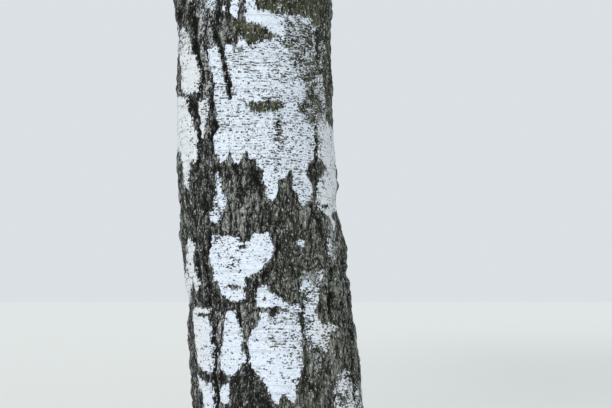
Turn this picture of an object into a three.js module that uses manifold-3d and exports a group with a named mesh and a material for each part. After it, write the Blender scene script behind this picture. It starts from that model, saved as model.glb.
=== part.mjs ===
// A mature silver birch, whole: a leaning trunk with its root flare, the boughs that
// leave it, and the hanging masses of foliage that the boughs carry.
// Lengths are in millimetres and +Z is up. The origin is the centre of the flat cut at ground level.
// The face that is seen first looks along -Y, and the trunk leans towards -X.

import * as THREE from "three";
import { mergeVertices } from "three/addons/utils/BufferGeometryUtils.js";
import Module from "manifold-3d";

const wasm = await Module();
wasm.setup();

const RADIANS = Math.PI / 180;
const UP = new THREE.Vector3(0, 0, 1);
const ALONG_X = new THREE.Vector3(1, 0, 0);
const NEARLY_UPRIGHT = 0.99;

// The gap that stays between two pieces that meet.
const MEETING_GAP = 0.3;

// The trunk, from the ground to the tip of its leader.
const TRUNK = {
  tipHeight: 16900,
  breastHeight: 1300,
  breastRadius: 200,
  tipRadius: 26,
  taperPower: 0.86,
  flareRadius: 95,
  flareFade: 270,
  buttresses: 5,
  buttressDepth: 0.34,
  buttressTurn: 0.6,
  sides: 20,
  rings: 30,
  // The rings stand closer together where the root flare curves most.
  ringPower: 2.1,
};

// The lean of the trunk, which the leader takes back as it climbs, and its slow sway.
const LEAN = { reach: 675, recovery: 7600, sway: 110, swayLength: 12400, depthSway: 130 };

// The boughs, from the lowest to the highest.
const BOUGHS = {
  count: 25,
  lowestHeight: 6000,
  highestHeight: 16050,
  heightPower: 0.94,
  heightJitter: 200,
  goldenTurn: 137.508 * RADIANS,
  turnJitter: 22 * RADIANS,
  longest: 4350,
  lengthJitter: 0.18,
  riseLow: 34 * RADIANS,
  riseHigh: 62 * RADIANS,
  riseJitter: 22 * RADIANS,
  tipLow: -38 * RADIANS,
  tipHigh: 26 * RADIANS,
  tipJitter: 36 * RADIANS,
  bendPower: 1.5,
  curl: 0.6,
  rootRadius: 52,
  rootShare: 0.5,
  tipRadius: 12,
  sunkTo: 0.4,
  collar: 1.45,
  collarLength: 130,
  ringSteps: [3, 4],
  sides: 5,
};

// How a limb's length is divided: a bare bough first, and then the stem of its foliage.
const LIMB_STEPS = 12;
const BARE_STEPS = 4;
const STEM_STEPS = 5;

// The sides of the wood inside a mass.
const STEM_SIDES = 4;
const BRANCH_SIDES = 3;

// The side branches of a mass.
const BRANCHES = {
  spread: 58 * RADIANS,
  spreadJitter: 24 * RADIANS,
  share: 0.4,
  taperOff: 0.6,
  lengthJitter: 0.24,
  lift: 16 * RADIANS,
  liftJitter: 56 * RADIANS,
  drop: 44 * RADIANS,
  risingPlaces: [0.36, 0.76],
  risingLift: 52 * RADIANS,
  risingTurn: 50 * RADIANS,
  risingShare: 0.62,
  rootShare: 0.62,
  tipRadius: 9,
  steps: 2,
  aimReach: 0.05,
  testedAt: [0.3, 0.5, 0.75, 1],
  clearOfLimb: 60,
};

// The hanging sprays of leaves on the stem and branches of a mass.
const SPRAYS = {
  spacing: 520,
  longest: 1340,
  topShare: 0.7,
  lengthJitter: 0.24,
  widthShare: 0.48,
  thickness: 32,
  widestAt: 0.38,
  outward: 0.6,
  outwardTop: 2.4,
  risingHang: -0.5,
  risingLength: 0.8,
  swing: 0.8,
  rootSink: 4,
  lastPlace: 0.96,
  placeSpan: 0.8,
  tries: 9,
  shortening: 0.94,
  apart: 2,
  testedAt: [0.25, 0.5, 0.75, 1],
  clearOfLimb: 14,
  clearOfSpace: 4,
};

// The mass at the top, round the leader that goes on from the trunk's tip.
const LEADER = {
  length: 1750,
  branches: 9,
  branchLength: 1000,
  taperOff: 0.62,
  rise: 52 * RADIANS,
  drop: 16 * RADIANS,
};

// The finishes of the plain model, one for each kind of piece.
const BARK_WHITE = { color: 0xd9dcdc, roughness: 0.78, metalness: 0 };
const BOUGH_BARK = { color: 0x8d8880, roughness: 0.82, metalness: 0 };
const LEAF_GREEN = { color: 0x7d9a3c, roughness: 0.6, metalness: 0 };

/** A repeatable stream of numbers from 0 to 1, its own for each seed. */
function numbersFrom(seed) {
  let state = Math.imul(seed + 1, 2654435761) >>> 0;
  const next = () => {
    state = (Math.imul(state, 1664525) + 1013904223) >>> 0;
    return state / 4294967296;
  };
  for (let warm = 0; warm < 4; warm++) next();
  return next;
}

/** A number drawn evenly from -half to +half of the spread. */
const jitter = (next, spread) => (next() - 0.5) * spread;

/** The direction with this heading round the trunk and this rise above the horizontal. */
function headed(heading, rise) {
  return new THREE.Vector3(
    Math.cos(heading) * Math.cos(rise),
    Math.sin(heading) * Math.cos(rise),
    Math.sin(rise),
  );
}

/** The trunk's centre at a height: it leans to -X, takes the lean back, and sways a little. */
function trunkCentre(z) {
  const share = z / TRUNK.tipHeight;
  return new THREE.Vector3(
    -LEAN.reach * (1 - Math.exp(-z / LEAN.recovery)) +
      LEAN.sway * share * Math.sin((2 * Math.PI * z) / LEAN.swayLength),
    LEAN.depthSway * share * Math.sin(Math.PI * share),
    z,
  );
}

/** The trunk's radius at a height, in one direction round it where the root flare has its lobes. */
function trunkRadius(z, angle) {
  const climbed = (z - TRUNK.breastHeight) / (TRUNK.tipHeight - TRUNK.breastHeight);
  const taper = Math.sign(1 - climbed) * Math.abs(1 - climbed) ** TRUNK.taperPower;
  const stem = TRUNK.tipRadius + (TRUNK.breastRadius - TRUNK.tipRadius) * taper;
  const lobe = 1 + TRUNK.buttressDepth * Math.cos(TRUNK.buttresses * angle + TRUNK.buttressTurn);
  return stem + TRUNK.flareRadius * Math.exp(-z / TRUNK.flareFade) * lobe;
}

/** A closed body with its faces outwards, from rings of as many points each, lowest or first ring first. */
function bodyOfRings(rings) {
  const sides = rings[0].length;
  const positions = rings.flat().flatMap((point) => [point.x, point.y, point.z]);
  const faces = [];
  for (let ring = 0; ring + 1 < rings.length; ring++) {
    for (let side = 0; side < sides; side++) {
      const here = ring * sides + side;
      const beside = ring * sides + ((side + 1) % sides);
      faces.push(here, beside, beside + sides, here, beside + sides, here + sides);
    }
  }
  const last = (rings.length - 1) * sides;
  for (let side = 1; side + 1 < sides; side++) {
    faces.push(0, side + 1, side, last, last + side, last + side + 1);
  }
  const geometry = new THREE.BufferGeometry();
  geometry.setAttribute("position", new THREE.Float32BufferAttribute(positions, 3));
  geometry.setIndex(faces);
  return geometry;
}

/** The trunk, or the same shape grown by a clearance, as one closed body. */
function trunkGeometry(clearance = 0) {
  const rings = [];
  for (let step = 0; step <= TRUNK.rings; step++) {
    const z = TRUNK.tipHeight * (step / TRUNK.rings) ** TRUNK.ringPower;
    const centre = trunkCentre(z);
    const ring = [];
    for (let side = 0; side < TRUNK.sides; side++) {
      const angle = (2 * Math.PI * side) / TRUNK.sides;
      const radius = trunkRadius(z, angle) + clearance;
      ring.push(
        new THREE.Vector3(
          centre.x + radius * Math.cos(angle),
          centre.y + radius * Math.sin(angle),
          z,
        ),
      );
    }
    rings.push(ring);
  }
  return bodyOfRings(rings);
}

/** The rings of a limb that follows a line of points, each square to the line there or to an end's own aim. */
function limbRings({ points, radii, startAim, endAim }, sides) {
  const tangents = points.map((point, index) => {
    const before = points[Math.max(index - 1, 0)];
    const after = points[Math.min(index + 1, points.length - 1)];
    return after.clone().sub(before).normalize();
  });
  if (startAim) tangents[0] = startAim;
  if (endAim) tangents[points.length - 1] = endAim;
  const upright = Math.abs(tangents[0].z) > NEARLY_UPRIGHT;
  const across = new THREE.Vector3().crossVectors(tangents[0], upright ? ALONG_X : UP).normalize();
  return points.map((point, index) => {
    if (index > 0) {
      const turn = new THREE.Quaternion().setFromUnitVectors(tangents[index - 1], tangents[index]);
      across.applyQuaternion(turn);
    }
    const beyond = new THREE.Vector3().crossVectors(tangents[index], across);
    return Array.from({ length: sides }, (_, side) => {
      const angle = (2 * Math.PI * side) / sides;
      return point
        .clone()
        .addScaledVector(across, radii[index] * Math.cos(angle))
        .addScaledVector(beyond, radii[index] * Math.sin(angle));
    });
  });
}

/** The way a limb points where its bare bough ends and the stem of its foliage goes on. */
function meetingAim(limb) {
  return limb.points[BARE_STEPS + 1].clone().sub(limb.points[BARE_STEPS - 1]).normalize();
}

/** How long a limb is at this share of the way up the crown: an egg-shaped crown, blunt below. */
function limbLength(share) {
  return BOUGHS.longest * ((0.62 + 1.9 * share) * (1 - share) ** 1.1 + 0.28 * share);
}

/** One limb of the crown: its line from the trunk's centre to its drooping tip, and its radii. */
function limbPath(index) {
  const next = numbersFrom(index);
  const share = index / (BOUGHS.count - 1);
  const height =
    BOUGHS.lowestHeight +
    (BOUGHS.highestHeight - BOUGHS.lowestHeight) * share ** BOUGHS.heightPower +
    jitter(next, BOUGHS.heightJitter);
  const heading = index * BOUGHS.goldenTurn + jitter(next, BOUGHS.turnJitter);
  const length = limbLength(share) * (1 + jitter(next, BOUGHS.lengthJitter));
  const curl = jitter(next, BOUGHS.curl);
  const rise =
    THREE.MathUtils.lerp(BOUGHS.riseLow, BOUGHS.riseHigh, share) + jitter(next, BOUGHS.riseJitter);
  const tipRise =
    THREE.MathUtils.lerp(BOUGHS.tipLow, BOUGHS.tipHigh, share) + jitter(next, BOUGHS.tipJitter);
  const thickest = BOUGHS.rootShare * trunkRadius(height, 0);
  const rootRadius = Math.min(thickest, BOUGHS.rootRadius * (length / BOUGHS.longest));
  const points = [trunkCentre(height)];
  const radii = [];
  for (let step = 0; step <= LIMB_STEPS; step++) {
    const along = step / LIMB_STEPS;
    radii.push(THREE.MathUtils.lerp(rootRadius, BOUGHS.tipRadius, along));
    if (step === LIMB_STEPS) break;
    const direction = headed(
      heading + curl * along,
      rise + (tipRise - rise) * along ** BOUGHS.bendPower,
    );
    points.push(points[step].clone().addScaledVector(direction, length / LIMB_STEPS));
  }
  return { share, heading, length, points, radii };
}

/** The bare bough: the first steps of a limb, with a collar where it leaves the trunk. */
function boughRings(limb) {
  const start = limb.points[0];
  const direction = limb.points[1].clone().sub(start).normalize();
  const inTrunk = trunkRadius(start.z, 0);
  const toBark = inTrunk / Math.hypot(direction.x, direction.y);
  const collar = limb.radii[0] * BOUGHS.collar;
  const outTo = [BOUGHS.sunkTo * inTrunk, toBark, toBark + BOUGHS.collarLength];
  const points = outTo.map((distance) => start.clone().addScaledVector(direction, distance));
  const radii = [collar, collar, limb.radii[0]];
  for (const step of BOUGHS.ringSteps) {
    points.push(limb.points[step]);
    radii.push(limb.radii[step]);
  }
  return limbRings({ points, radii, endAim: meetingAim(limb) }, BOUGHS.sides);
}

/** The solid of a closed geometry. */
function solidOf(geometry) {
  const merged = mergeVertices(geometry, 1e-3);
  return new wasm.Manifold(
    new wasm.Mesh({
      numProp: 3,
      vertProperties: merged.attributes.position.array,
      triVerts: new Uint32Array(merged.index.array),
    }),
  );
}

/** A solid as a geometry: its largest body alone, without sealed hollows or loose scraps. */
function geometryOf(solid) {
  const bodies = solid.decompose().sort((a, b) => b.volume() - a.volume());
  const mesh = bodies[0].getMesh();
  const geometry = new THREE.BufferGeometry();
  geometry.setAttribute("position", new THREE.BufferAttribute(mesh.vertProperties, 3));
  geometry.setIndex(new THREE.BufferAttribute(mesh.triVerts, 1));
  geometry.computeVertexNormals();
  return geometry;
}

/** The point at a share of the way along a line of evenly spaced points. */
function pointAlong(points, share) {
  const place = share * (points.length - 1);
  const step = Math.min(Math.floor(place), points.length - 2);
  return points[step].clone().lerp(points[step + 1], place - step);
}

/** The number at a share of the way along a list of evenly spaced ones. */
function numberAlong(numbers, share) {
  const place = share * (numbers.length - 1);
  const step = Math.min(Math.floor(place), numbers.length - 2);
  return THREE.MathUtils.lerp(numbers[step], numbers[step + 1], place - step);
}

/** A side branch: it leaves its stem's centre with an aim, and droops as it goes. */
function sideBranch(stem, share, { heading, rise }, length, drop) {
  const points = [pointAlong(stem.points, share)];
  for (let step = 0; step < BRANCHES.steps; step++) {
    const direction = headed(heading, rise - drop * ((step + 0.5) / BRANCHES.steps));
    points.push(points[step].clone().addScaledVector(direction, length / BRANCHES.steps));
  }
  const rootRadius = BRANCHES.rootShare * numberAlong(stem.radii, share);
  const radii = points.map((_, step) =>
    THREE.MathUtils.lerp(rootRadius, Math.min(rootRadius, BRANCHES.tipRadius), step / BRANCHES.steps),
  );
  return { points, radii };
}

/** The heading and the rise of a stem at a share of the way along it. */
function stemAim(stem, share) {
  const ahead = pointAlong(stem.points, share + BRANCHES.aimReach);
  const along = ahead.sub(pointAlong(stem.points, share - BRANCHES.aimReach));
  return { heading: Math.atan2(along.y, along.x), rise: Math.asin(along.z / along.length()) };
}

/** The side branches of a mass on the end of a limb, to left and right in turn, and two that rise. */
function sideBranches(limb, stem, next) {
  const longestAt = (share) => limb.length * BRANCHES.share * (1 - BRANCHES.taperOff * share);
  const branches = [];
  for (let place = 0; place < STEM_STEPS; place++) {
    const share = (place + 0.5) / STEM_STEPS;
    const { heading, rise } = stemAim(stem, share);
    const hand = place % 2 === 0 ? 1 : -1;
    const turn = hand * (BRANCHES.spread + jitter(next, BRANCHES.spreadJitter));
    const length = longestAt(share) * (1 + jitter(next, BRANCHES.lengthJitter));
    const lift = BRANCHES.lift + jitter(next, BRANCHES.liftJitter);
    const aim = { heading: heading + turn, rise: rise * 0.5 + lift };
    branches.push(sideBranch(stem, share, aim, length, BRANCHES.drop));
  }
  for (const share of BRANCHES.risingPlaces) {
    const { heading, rise } = stemAim(stem, share);
    const turn = jitter(next, BRANCHES.risingTurn);
    const length = longestAt(share) * BRANCHES.risingShare;
    const aim = { heading: heading + turn, rise: rise * 0.5 + BRANCHES.risingLift };
    const branch = sideBranch(stem, share, aim, length, BRANCHES.drop / 2);
    branches.push({ ...branch, rising: true });
  }
  return branches;
}

/** The branches of the mass at the top, in turn round the leader. */
function leaderBranches(stem, next) {
  return Array.from({ length: LEADER.branches }, (_, place) => {
    const share = (place + 0.5) / LEADER.branches;
    const heading = place * BOUGHS.goldenTurn + jitter(next, BOUGHS.turnJitter);
    const length = LEADER.branchLength * (1 - LEADER.taperOff * share);
    return sideBranch(stem, share, { heading, rise: LEADER.rise }, length, LEADER.drop);
  });
}

/** One spray of leaves: a thin lozenge from its root on a branch to its tip, with a ridge on each face. */
function sprayCorners(root, direction, length, width, turn) {
  const tip = root.clone().addScaledVector(direction, length);
  const middle = root.clone().addScaledVector(direction, length * SPRAYS.widestAt);
  const flat = new THREE.Vector3(Math.cos(turn), Math.sin(turn), 0);
  const side = new THREE.Vector3().crossVectors(direction, flat).normalize();
  const face = new THREE.Vector3().crossVectors(side, direction);
  return [
    root.clone().addScaledVector(direction, -SPRAYS.rootSink),
    tip,
    middle.clone().addScaledVector(side, width / 2),
    middle.clone().addScaledVector(side, -width / 2),
    middle.clone().addScaledVector(face, SPRAYS.thickness / 2),
    middle.clone().addScaledVector(face, -SPRAYS.thickness / 2),
  ];
}

/** The closed lozenge of a spray's six corners. */
function sprayGeometry(corners) {
  const geometry = new THREE.BufferGeometry();
  const positions = corners.flatMap((corner) => [corner.x, corner.y, corner.z]);
  geometry.setAttribute("position", new THREE.Float32BufferAttribute(positions, 3));
  const [root, tip, right, left, front, back] = [0, 1, 2, 3, 4, 5];
  geometry.setIndex([
    [root, right, front],
    [root, front, left],
    [root, left, back],
    [root, back, right],
    [tip, front, right],
    [tip, left, front],
    [tip, back, left],
    [tip, right, back],
  ].flat());
  return geometry;
}

/** The shortest way from a point to a line of points, less the line's radius there. */
function clearance(point, line) {
  let least = Infinity;
  const segment = new THREE.Line3();
  const nearest = new THREE.Vector3();
  for (let step = 0; step + 1 < line.points.length; step++) {
    segment.set(line.points[step], line.points[step + 1]);
    segment.closestPointToPoint(point, true, nearest);
    const radius = Math.max(line.radii[step], line.radii[step + 1]);
    least = Math.min(least, nearest.distanceTo(point) - radius);
  }
  return least;
}

/** Whether a point is on this mass's side of the middle plane to every other mass. */
function inOwnSpace(point, centres, own) {
  return centres.every((other, index) => {
    if (index === own) return true;
    const between = other.clone().sub(centres[own]);
    const half = between.length() / 2;
    const ahead = point.clone().sub(centres[own]).dot(between) / (2 * half);
    return ahead < half - SPRAYS.clearOfSpace;
  });
}

/** Points spread over a spray's outline, near enough together to show whether it meets a limb. */
function outlinePoints([root, tip, right, left]) {
  const points = [];
  for (const corner of [right, left, right.clone().lerp(left, 0.5)]) {
    for (const share of SPRAYS.testedAt) {
      points.push(root.clone().lerp(corner, share), tip.clone().lerp(corner, share));
    }
  }
  return points;
}

const limbs = Array.from({ length: BOUGHS.count }, (_, index) => limbPath(index));

// The mass at the top comes after those on the limbs.
const TOP = BOUGHS.count;

/** The line of the stem in a mass: the leader's for the last one, and the end of its limb for another. */
function stemOf(index) {
  const startAim = index === TOP ? UP : meetingAim(limbs[index]);
  const stem = { points: [], radii: [], startAim };
  for (let step = 0; step <= STEM_STEPS; step++) {
    const share = step / STEM_STEPS;
    if (index === TOP) {
      const above = new THREE.Vector3(0, 0, LEADER.length * share);
      stem.points.push(trunkCentre(TRUNK.tipHeight).add(above));
      stem.radii.push(THREE.MathUtils.lerp(TRUNK.tipRadius, BOUGHS.tipRadius, share));
    } else {
      const along = (BARE_STEPS + (LIMB_STEPS - BARE_STEPS) * share) / LIMB_STEPS;
      stem.points.push(pointAlong(limbs[index].points, along));
      stem.radii.push(numberAlong(limbs[index].radii, along));
    }
  }
  return stem;
}

/** A mass before its sprays: its stem, its branches, and its share of the way up the crown. */
function massFrame(index) {
  const next = numbersFrom(BOUGHS.count + index);
  const stem = stemOf(index);
  if (index === TOP) {
    return { share: 1, stem, branches: leaderBranches(stem, next), next };
  }
  const limb = limbs[index];
  return { share: limb.share, stem, branches: sideBranches(limb, stem, next), next };
}

const masses = Array.from({ length: TOP + 1 }, (_, index) => massFrame(index));
const centres = masses.map(({ stem }) => pointAlong(stem.points, 0.5));

// The trunk as a line with radii, to keep foliage clear of it.
const TRUNK_LINE_STEPS = 40;
const trunkHeights = Array.from(
  { length: TRUNK_LINE_STEPS + 1 },
  (_, step) => (TRUNK.tipHeight * step) / TRUNK_LINE_STEPS,
);
const trunkLine = {
  points: trunkHeights.map((z) => trunkCentre(z)),
  radii: trunkHeights.map((z) => trunkRadius(z, 0)),
};
const bareLines = limbs.map((limb) => ({
  points: limb.points.slice(0, BARE_STEPS + 1),
  radii: limb.radii.slice(0, BARE_STEPS + 1).map((radius) => radius * BOUGHS.collar),
}));
const stemLines = masses.map(({ stem }) => stem);

/** The branches of a mass that keep to its space and touch no limb or foreign stem. */
function keptBranches(mass, own) {
  const limbsNear = [trunkLine, ...bareLines, ...stemLines.filter((_, index) => index !== own)];
  return mass.branches.filter((line) =>
    BRANCHES.testedAt.every((share) => {
      const point = pointAlong(line.points, share);
      const clear = limbsNear.every((limb) => clearance(point, limb) > BRANCHES.clearOfLimb);
      return clear && inOwnSpace(point, centres, own);
    }),
  );
}

const branchLines = masses.map(keptBranches);

/** The places where sprays hang from a mass: evenly along its branches, and along its stem. */
function sprayPlaces(mass, own) {
  return [...branchLines[own], mass.stem].flatMap((line) => {
    const length = line.points[0].distanceTo(line.points[line.points.length - 1]);
    const count = Math.max(1, Math.round(length / SPRAYS.spacing));
    return Array.from({ length: count }, (_, place) => ({
      line,
      share: SPRAYS.lastPlace - (SPRAYS.placeSpan * place) / count,
    }));
  });
}

/** The corners of a spray that hangs from a place, turned and swung by the mass's own numbers. */
function hungSpray(mass, { line, share }, axis, shortened) {
  const { next } = mass;
  const root = pointAlong(line.points, share);
  const outward = root.clone().sub(axis).setZ(0).normalize();
  const lean = THREE.MathUtils.lerp(SPRAYS.outward, SPRAYS.outwardTop, mass.share ** 3);
  const swing = new THREE.Vector3(jitter(next, SPRAYS.swing), jitter(next, SPRAYS.swing), 0);
  const hang = line.rising ? SPRAYS.risingHang : 1;
  const direction = outward.multiplyScalar(lean * next()).add(swing);
  direction.addScaledVector(UP, -hang).normalize();
  const shorter = shortened * (line.rising ? SPRAYS.risingLength : 1);
  const size = THREE.MathUtils.lerp(1, SPRAYS.topShare, mass.share) * shorter;
  const length = SPRAYS.longest * size * (1 + jitter(next, SPRAYS.lengthJitter));
  const turn = 2 * Math.PI * next();
  return sprayCorners(root, direction, length, length * SPRAYS.widthShare, turn);
}

/** The stem's line with its first point moved clear of the bough or trunk that it goes on from. */
function clearedStem(stem) {
  const first = stem.points[0].clone().addScaledVector(stem.startAim, MEETING_GAP);
  return { ...stem, points: [first, ...stem.points.slice(1)] };
}

/** One mass of foliage: its stem and branches, with the sprays that keep to its space fused on. */
function massGeometry(mass, own) {
  const axis = trunkCentre(pointAlong(mass.stem.points, 0.5).z);
  const obstacles = [trunkLine, ...bareLines, ...stemLines.filter((_, index) => index !== own)];
  branchLines.forEach((lines, index) => {
    if (index !== own) obstacles.push(...lines);
  });
  const stem = solidOf(bodyOfRings(limbRings(clearedStem(mass.stem), STEM_SIDES)));
  const wood = new Map([[mass.stem, stem]]);
  for (const line of branchLines[own]) {
    wood.set(line, solidOf(bodyOfRings(limbRings(line, BRANCH_SIDES))));
  }
  const leafy = [];
  for (const place of sprayPlaces(mass, own)) {
    for (let attempt = 0; attempt < SPRAYS.tries; attempt++) {
      const corners = hungSpray(mass, place, axis, SPRAYS.shortening ** attempt);
      if (!corners.every((corner) => inOwnSpace(corner, centres, own))) continue;
      const meetsLimb = outlinePoints(corners).some((point) =>
        obstacles.some((limb) => clearance(point, limb) < SPRAYS.clearOfLimb),
      );
      if (meetsLimb) continue;
      const spray = solidOf(sprayGeometry(corners));
      const otherWood = [...wood].filter(([line]) => line !== place.line).map(([, solid]) => solid);
      const meetsOwn = [...leafy, ...otherWood].some(
        (other) => spray.minGap(other, SPRAYS.apart) < SPRAYS.apart,
      );
      if (meetsOwn) continue;
      leafy.push(spray);
      break;
    }
  }
  return geometryOf(wasm.Manifold.union([...wood.values(), ...leafy]));
}

/** A named mesh with its finish. */
function piece(name, geometry, finish) {
  const mesh = new THREE.Mesh(geometry, new THREE.MeshStandardMaterial(finish));
  mesh.name = name;
  return mesh;
}

const birch = new THREE.Group();
const numbered = (name, index) => `${name}_${String(index + 1).padStart(2, "0")}`;

birch.add(piece("trunk", trunkGeometry(), BARK_WHITE));

const trunkWithGap = solidOf(trunkGeometry(MEETING_GAP));
limbs.forEach((limb, index) => {
  const bough = solidOf(bodyOfRings(boughRings(limb))).subtract(trunkWithGap);
  birch.add(piece(numbered("bough", index), geometryOf(bough), BOUGH_BARK));
});

masses.forEach((mass, index) => {
  const name = index === TOP ? "foliage_top" : numbered("foliage", index);
  birch.add(piece(name, massGeometry(mass, index), LEAF_GREEN));
});

export default birch;
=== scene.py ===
"""A mature silver birch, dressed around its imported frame.

The trunk and boughs get their bark, and each mass of foliage is grown again as branches, twigs and leaves
by the rule of the part's source, carried on to finer twigs. Lengths are in millimetres until a mesh is made.
"""

from __future__ import annotations

import logging
import math
from dataclasses import dataclass, field
from enum import Enum
from functools import partial

import bpy
import numpy as np
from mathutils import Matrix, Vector

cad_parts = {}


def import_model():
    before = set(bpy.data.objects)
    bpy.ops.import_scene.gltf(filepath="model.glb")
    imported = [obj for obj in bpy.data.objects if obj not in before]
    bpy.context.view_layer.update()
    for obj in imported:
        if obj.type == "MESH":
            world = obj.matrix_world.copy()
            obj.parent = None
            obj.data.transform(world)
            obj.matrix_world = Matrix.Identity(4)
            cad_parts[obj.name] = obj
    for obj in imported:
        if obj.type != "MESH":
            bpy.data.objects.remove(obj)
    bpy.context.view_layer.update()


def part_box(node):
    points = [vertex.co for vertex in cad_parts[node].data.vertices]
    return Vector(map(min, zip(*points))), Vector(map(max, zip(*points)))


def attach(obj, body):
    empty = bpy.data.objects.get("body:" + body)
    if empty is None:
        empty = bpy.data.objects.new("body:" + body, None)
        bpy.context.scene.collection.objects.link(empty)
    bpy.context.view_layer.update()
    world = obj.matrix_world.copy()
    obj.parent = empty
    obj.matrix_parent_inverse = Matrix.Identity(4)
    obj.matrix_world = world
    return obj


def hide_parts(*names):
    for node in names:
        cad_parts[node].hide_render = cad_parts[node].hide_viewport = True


LOG = logging.getLogger("birch")
MM = 0.001
BODY = "root"
UP = np.array([0.0, 0.0, 1.0])
GOLDEN_TURN = math.radians(137.508)
BARK_READS = ("paper", "speckle", "fleck", "moss", "lenticel", "worn", "ridge", "young")
Outline = tuple[tuple[float, float], ...]


def linear(colour: int) -> tuple[float, float, float, float]:
    """Turns an sRGB hex colour to the linear colour that a shader takes.

    Args:
        colour: The colour as 0xRRGGBB.

    Returns:
        Linear red, green, blue and an alpha of 1.
    """
    channels = [(colour >> shift & 255) / 255 for shift in (16, 8, 0)]
    red, green, blue = [c / 12.92 if c <= 0.04045 else ((c + 0.055) / 1.055) ** 2.4 for c in channels]
    return red, green, blue, 1.0


def smooth(low: float, high: float, value: np.ndarray) -> np.ndarray:
    """Rises smoothly from 0 at low to 1 at high."""
    share = np.clip((value - low) / (high - low), 0.0, 1.0)
    return share * share * (3.0 - 2.0 * share)


def unit(vectors: np.ndarray) -> np.ndarray:
    """Scales each vector to a length of 1."""
    return vectors / np.maximum(np.linalg.norm(vectors, axis=-1, keepdims=True), 1e-9)


class Grain(Enum):
    """Each noise in the bark: the size of its cells across and up in millimetres, and its seed."""

    BLOTCH = (95.0, 340.0, 11)
    SMALL_BLOTCH = (40.0, 130.0, 12)
    FINE_BLOTCH = (17.0, 55.0, 13)
    WANDER_ACROSS = (26.0, 26.0, 21)
    WANDER_DOWN = (26.0, 26.0, 22)
    RAGGED_ACROSS = (8.0, 11.0, 23)
    RAGGED_DOWN = (8.0, 11.0, 24)
    CRACK_WIDTH = (18.0, 30.0, 25)
    MOSS = (160.0, 420.0, 31)
    SPECKLE = (60.0, 150.0, 32)
    FLECK = (45.0, 120.0, 33)
    CRACK = (75.0, 900.0, 34)
    SCAR_EDGE = (14.0, 14.0, 35)
    DRIFT = (44.0, 28.0, 36)
    LENTICEL = (130.0, 260.0, 37)
    WORN = (120.0, 190.0, 38)
    BEND_X = (34.0, 60.0, 41)
    BEND_Y = (34.0, 60.0, 42)
    PLATES = (17.0, 78.0, 43)
    SCALES = (9.0, 26.0, 44)
    SWELL = (52.0, 140.0, 45)
    PAPER_WAVES = (45.0, 30.0, 46)
    PAPER_FOLDS = (70.0, 5.0, 47)
    BOUGH_BLOTCH = (60.0, 60.0, 61)
    BOUGH_SPOTS = (20.0, 20.0, 62)
    BOUGH_RIDGES = (14.0, 14.0, 63)
    BOUGH_BUMPS = (18.0, 18.0, 64)
    BOUGH_LUMPS = (42.0, 42.0, 65)


def noise(points: np.ndarray, grain: Grain) -> np.ndarray:
    """Gives smooth gradient noise, about -0.6 to 0.6, at each point.

    Args:
        points: Places in millimetres, one row each.
        grain: Which noise.

    Returns:
        One number for each point.
    """
    across, up, seed = grain.value
    place = points / np.array([across, across, up])
    cell = np.floor(place).astype(np.int64)
    inside = place - cell
    fade = inside**3 * (inside * (inside * 6.0 - 15.0) + 10.0)
    total = np.zeros(len(points))
    for corner in range(8):
        step = np.array([corner & 1, corner >> 1 & 1, corner >> 2 & 1])
        key = (cell + step).astype(np.uint64)
        mixed = key[:, 0] * np.uint64(73856093) ^ key[:, 1] * np.uint64(19349663)
        mixed = mixed ^ key[:, 2] * np.uint64(83492791) ^ np.uint64(seed * 2654435761)
        mixed = (mixed ^ mixed >> np.uint64(15)) * np.uint64(2246822519) & np.uint64(0xFFFFFFFF)
        mixed = (mixed ^ mixed >> np.uint64(13)) * np.uint64(3266489917) & np.uint64(0xFFFFFFFF)
        turn = (mixed & np.uint64(0xFFFF)).astype(float) * (2.0 * math.pi / 65536.0)
        lift = (mixed >> np.uint64(16)).astype(float) / 32768.0 - 1.0
        flat = np.sqrt(np.maximum(1.0 - lift * lift, 0.0))
        way = inside - step
        push = way[:, 0] * flat * np.cos(turn) + way[:, 1] * flat * np.sin(turn) + way[:, 2] * lift
        weight = np.prod(np.where(step == 1, fade, 1.0 - fade), axis=1)
        total += push * weight
    return total


def outline_depth(points: np.ndarray, outline: Outline) -> np.ndarray:
    """Measures how deep each point lies inside a closed outline.

    Args:
        points: Flat points, one row each.
        outline: The outline's corners in order.

    Returns:
        The distance to the outline, negative outside it.
    """
    corners = np.array(outline)
    nearest = np.full(len(points), np.inf)
    inside = np.zeros(len(points), dtype=bool)
    for start, end in zip(corners, np.roll(corners, -1, axis=0)):
        nearest = np.minimum(nearest, stroke_distance(points, (tuple(start), tuple(end))))
        crosses = (start[1] > points[:, 1]) != (end[1] > points[:, 1])
        run = (end[0] - start[0]) / (end[1] - start[1] or 1e-9)
        inside ^= crosses & (points[:, 0] < start[0] + (points[:, 1] - start[1]) * run)
    return np.where(inside, nearest, -nearest)


def stroke_distance(points: np.ndarray, stroke: Outline) -> np.ndarray:
    """Measures the distance from each flat point to a line of points."""
    nearest = np.full(len(points), np.inf)
    for start, end in zip(np.array(stroke[:-1]), np.array(stroke[1:])):
        along = end - start
        share = np.clip(((points - start) @ along) / max(float(along @ along), 1e-9), 0.0, 1.0)
        away = points - start - share[:, None] * along
        nearest = np.minimum(nearest, np.hypot(away[:, 0], away[:, 1]))
    return nearest


def add_node(tree: bpy.types.NodeTree, kind: str, settings: dict | None = None, **inputs) -> bpy.types.Node:
    """Adds a node with its settings, values and links.

    Args:
        tree: The node tree to add to.
        kind: The node's type name.
        settings: Properties of the node itself.
        inputs: Each input by its socket's identifier, with __ for a space. A socket or a node is
            linked, from its first open output, and anything else is set as the value.

    Returns:
        The new node.
    """
    node = tree.nodes.new(kind)
    for name, value in (settings or {}).items():
        setattr(node, name, value)
    sockets = {socket.identifier: socket for socket in node.inputs}
    for name, value in inputs.items():
        socket = sockets[name.replace("__", " ")]
        if isinstance(value, bpy.types.Node):
            value = next(output for output in value.outputs if output.enabled)
        if isinstance(value, bpy.types.NodeSocket):
            tree.links.new(value, socket)
        else:
            socket.default_value = value
    return node


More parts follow.
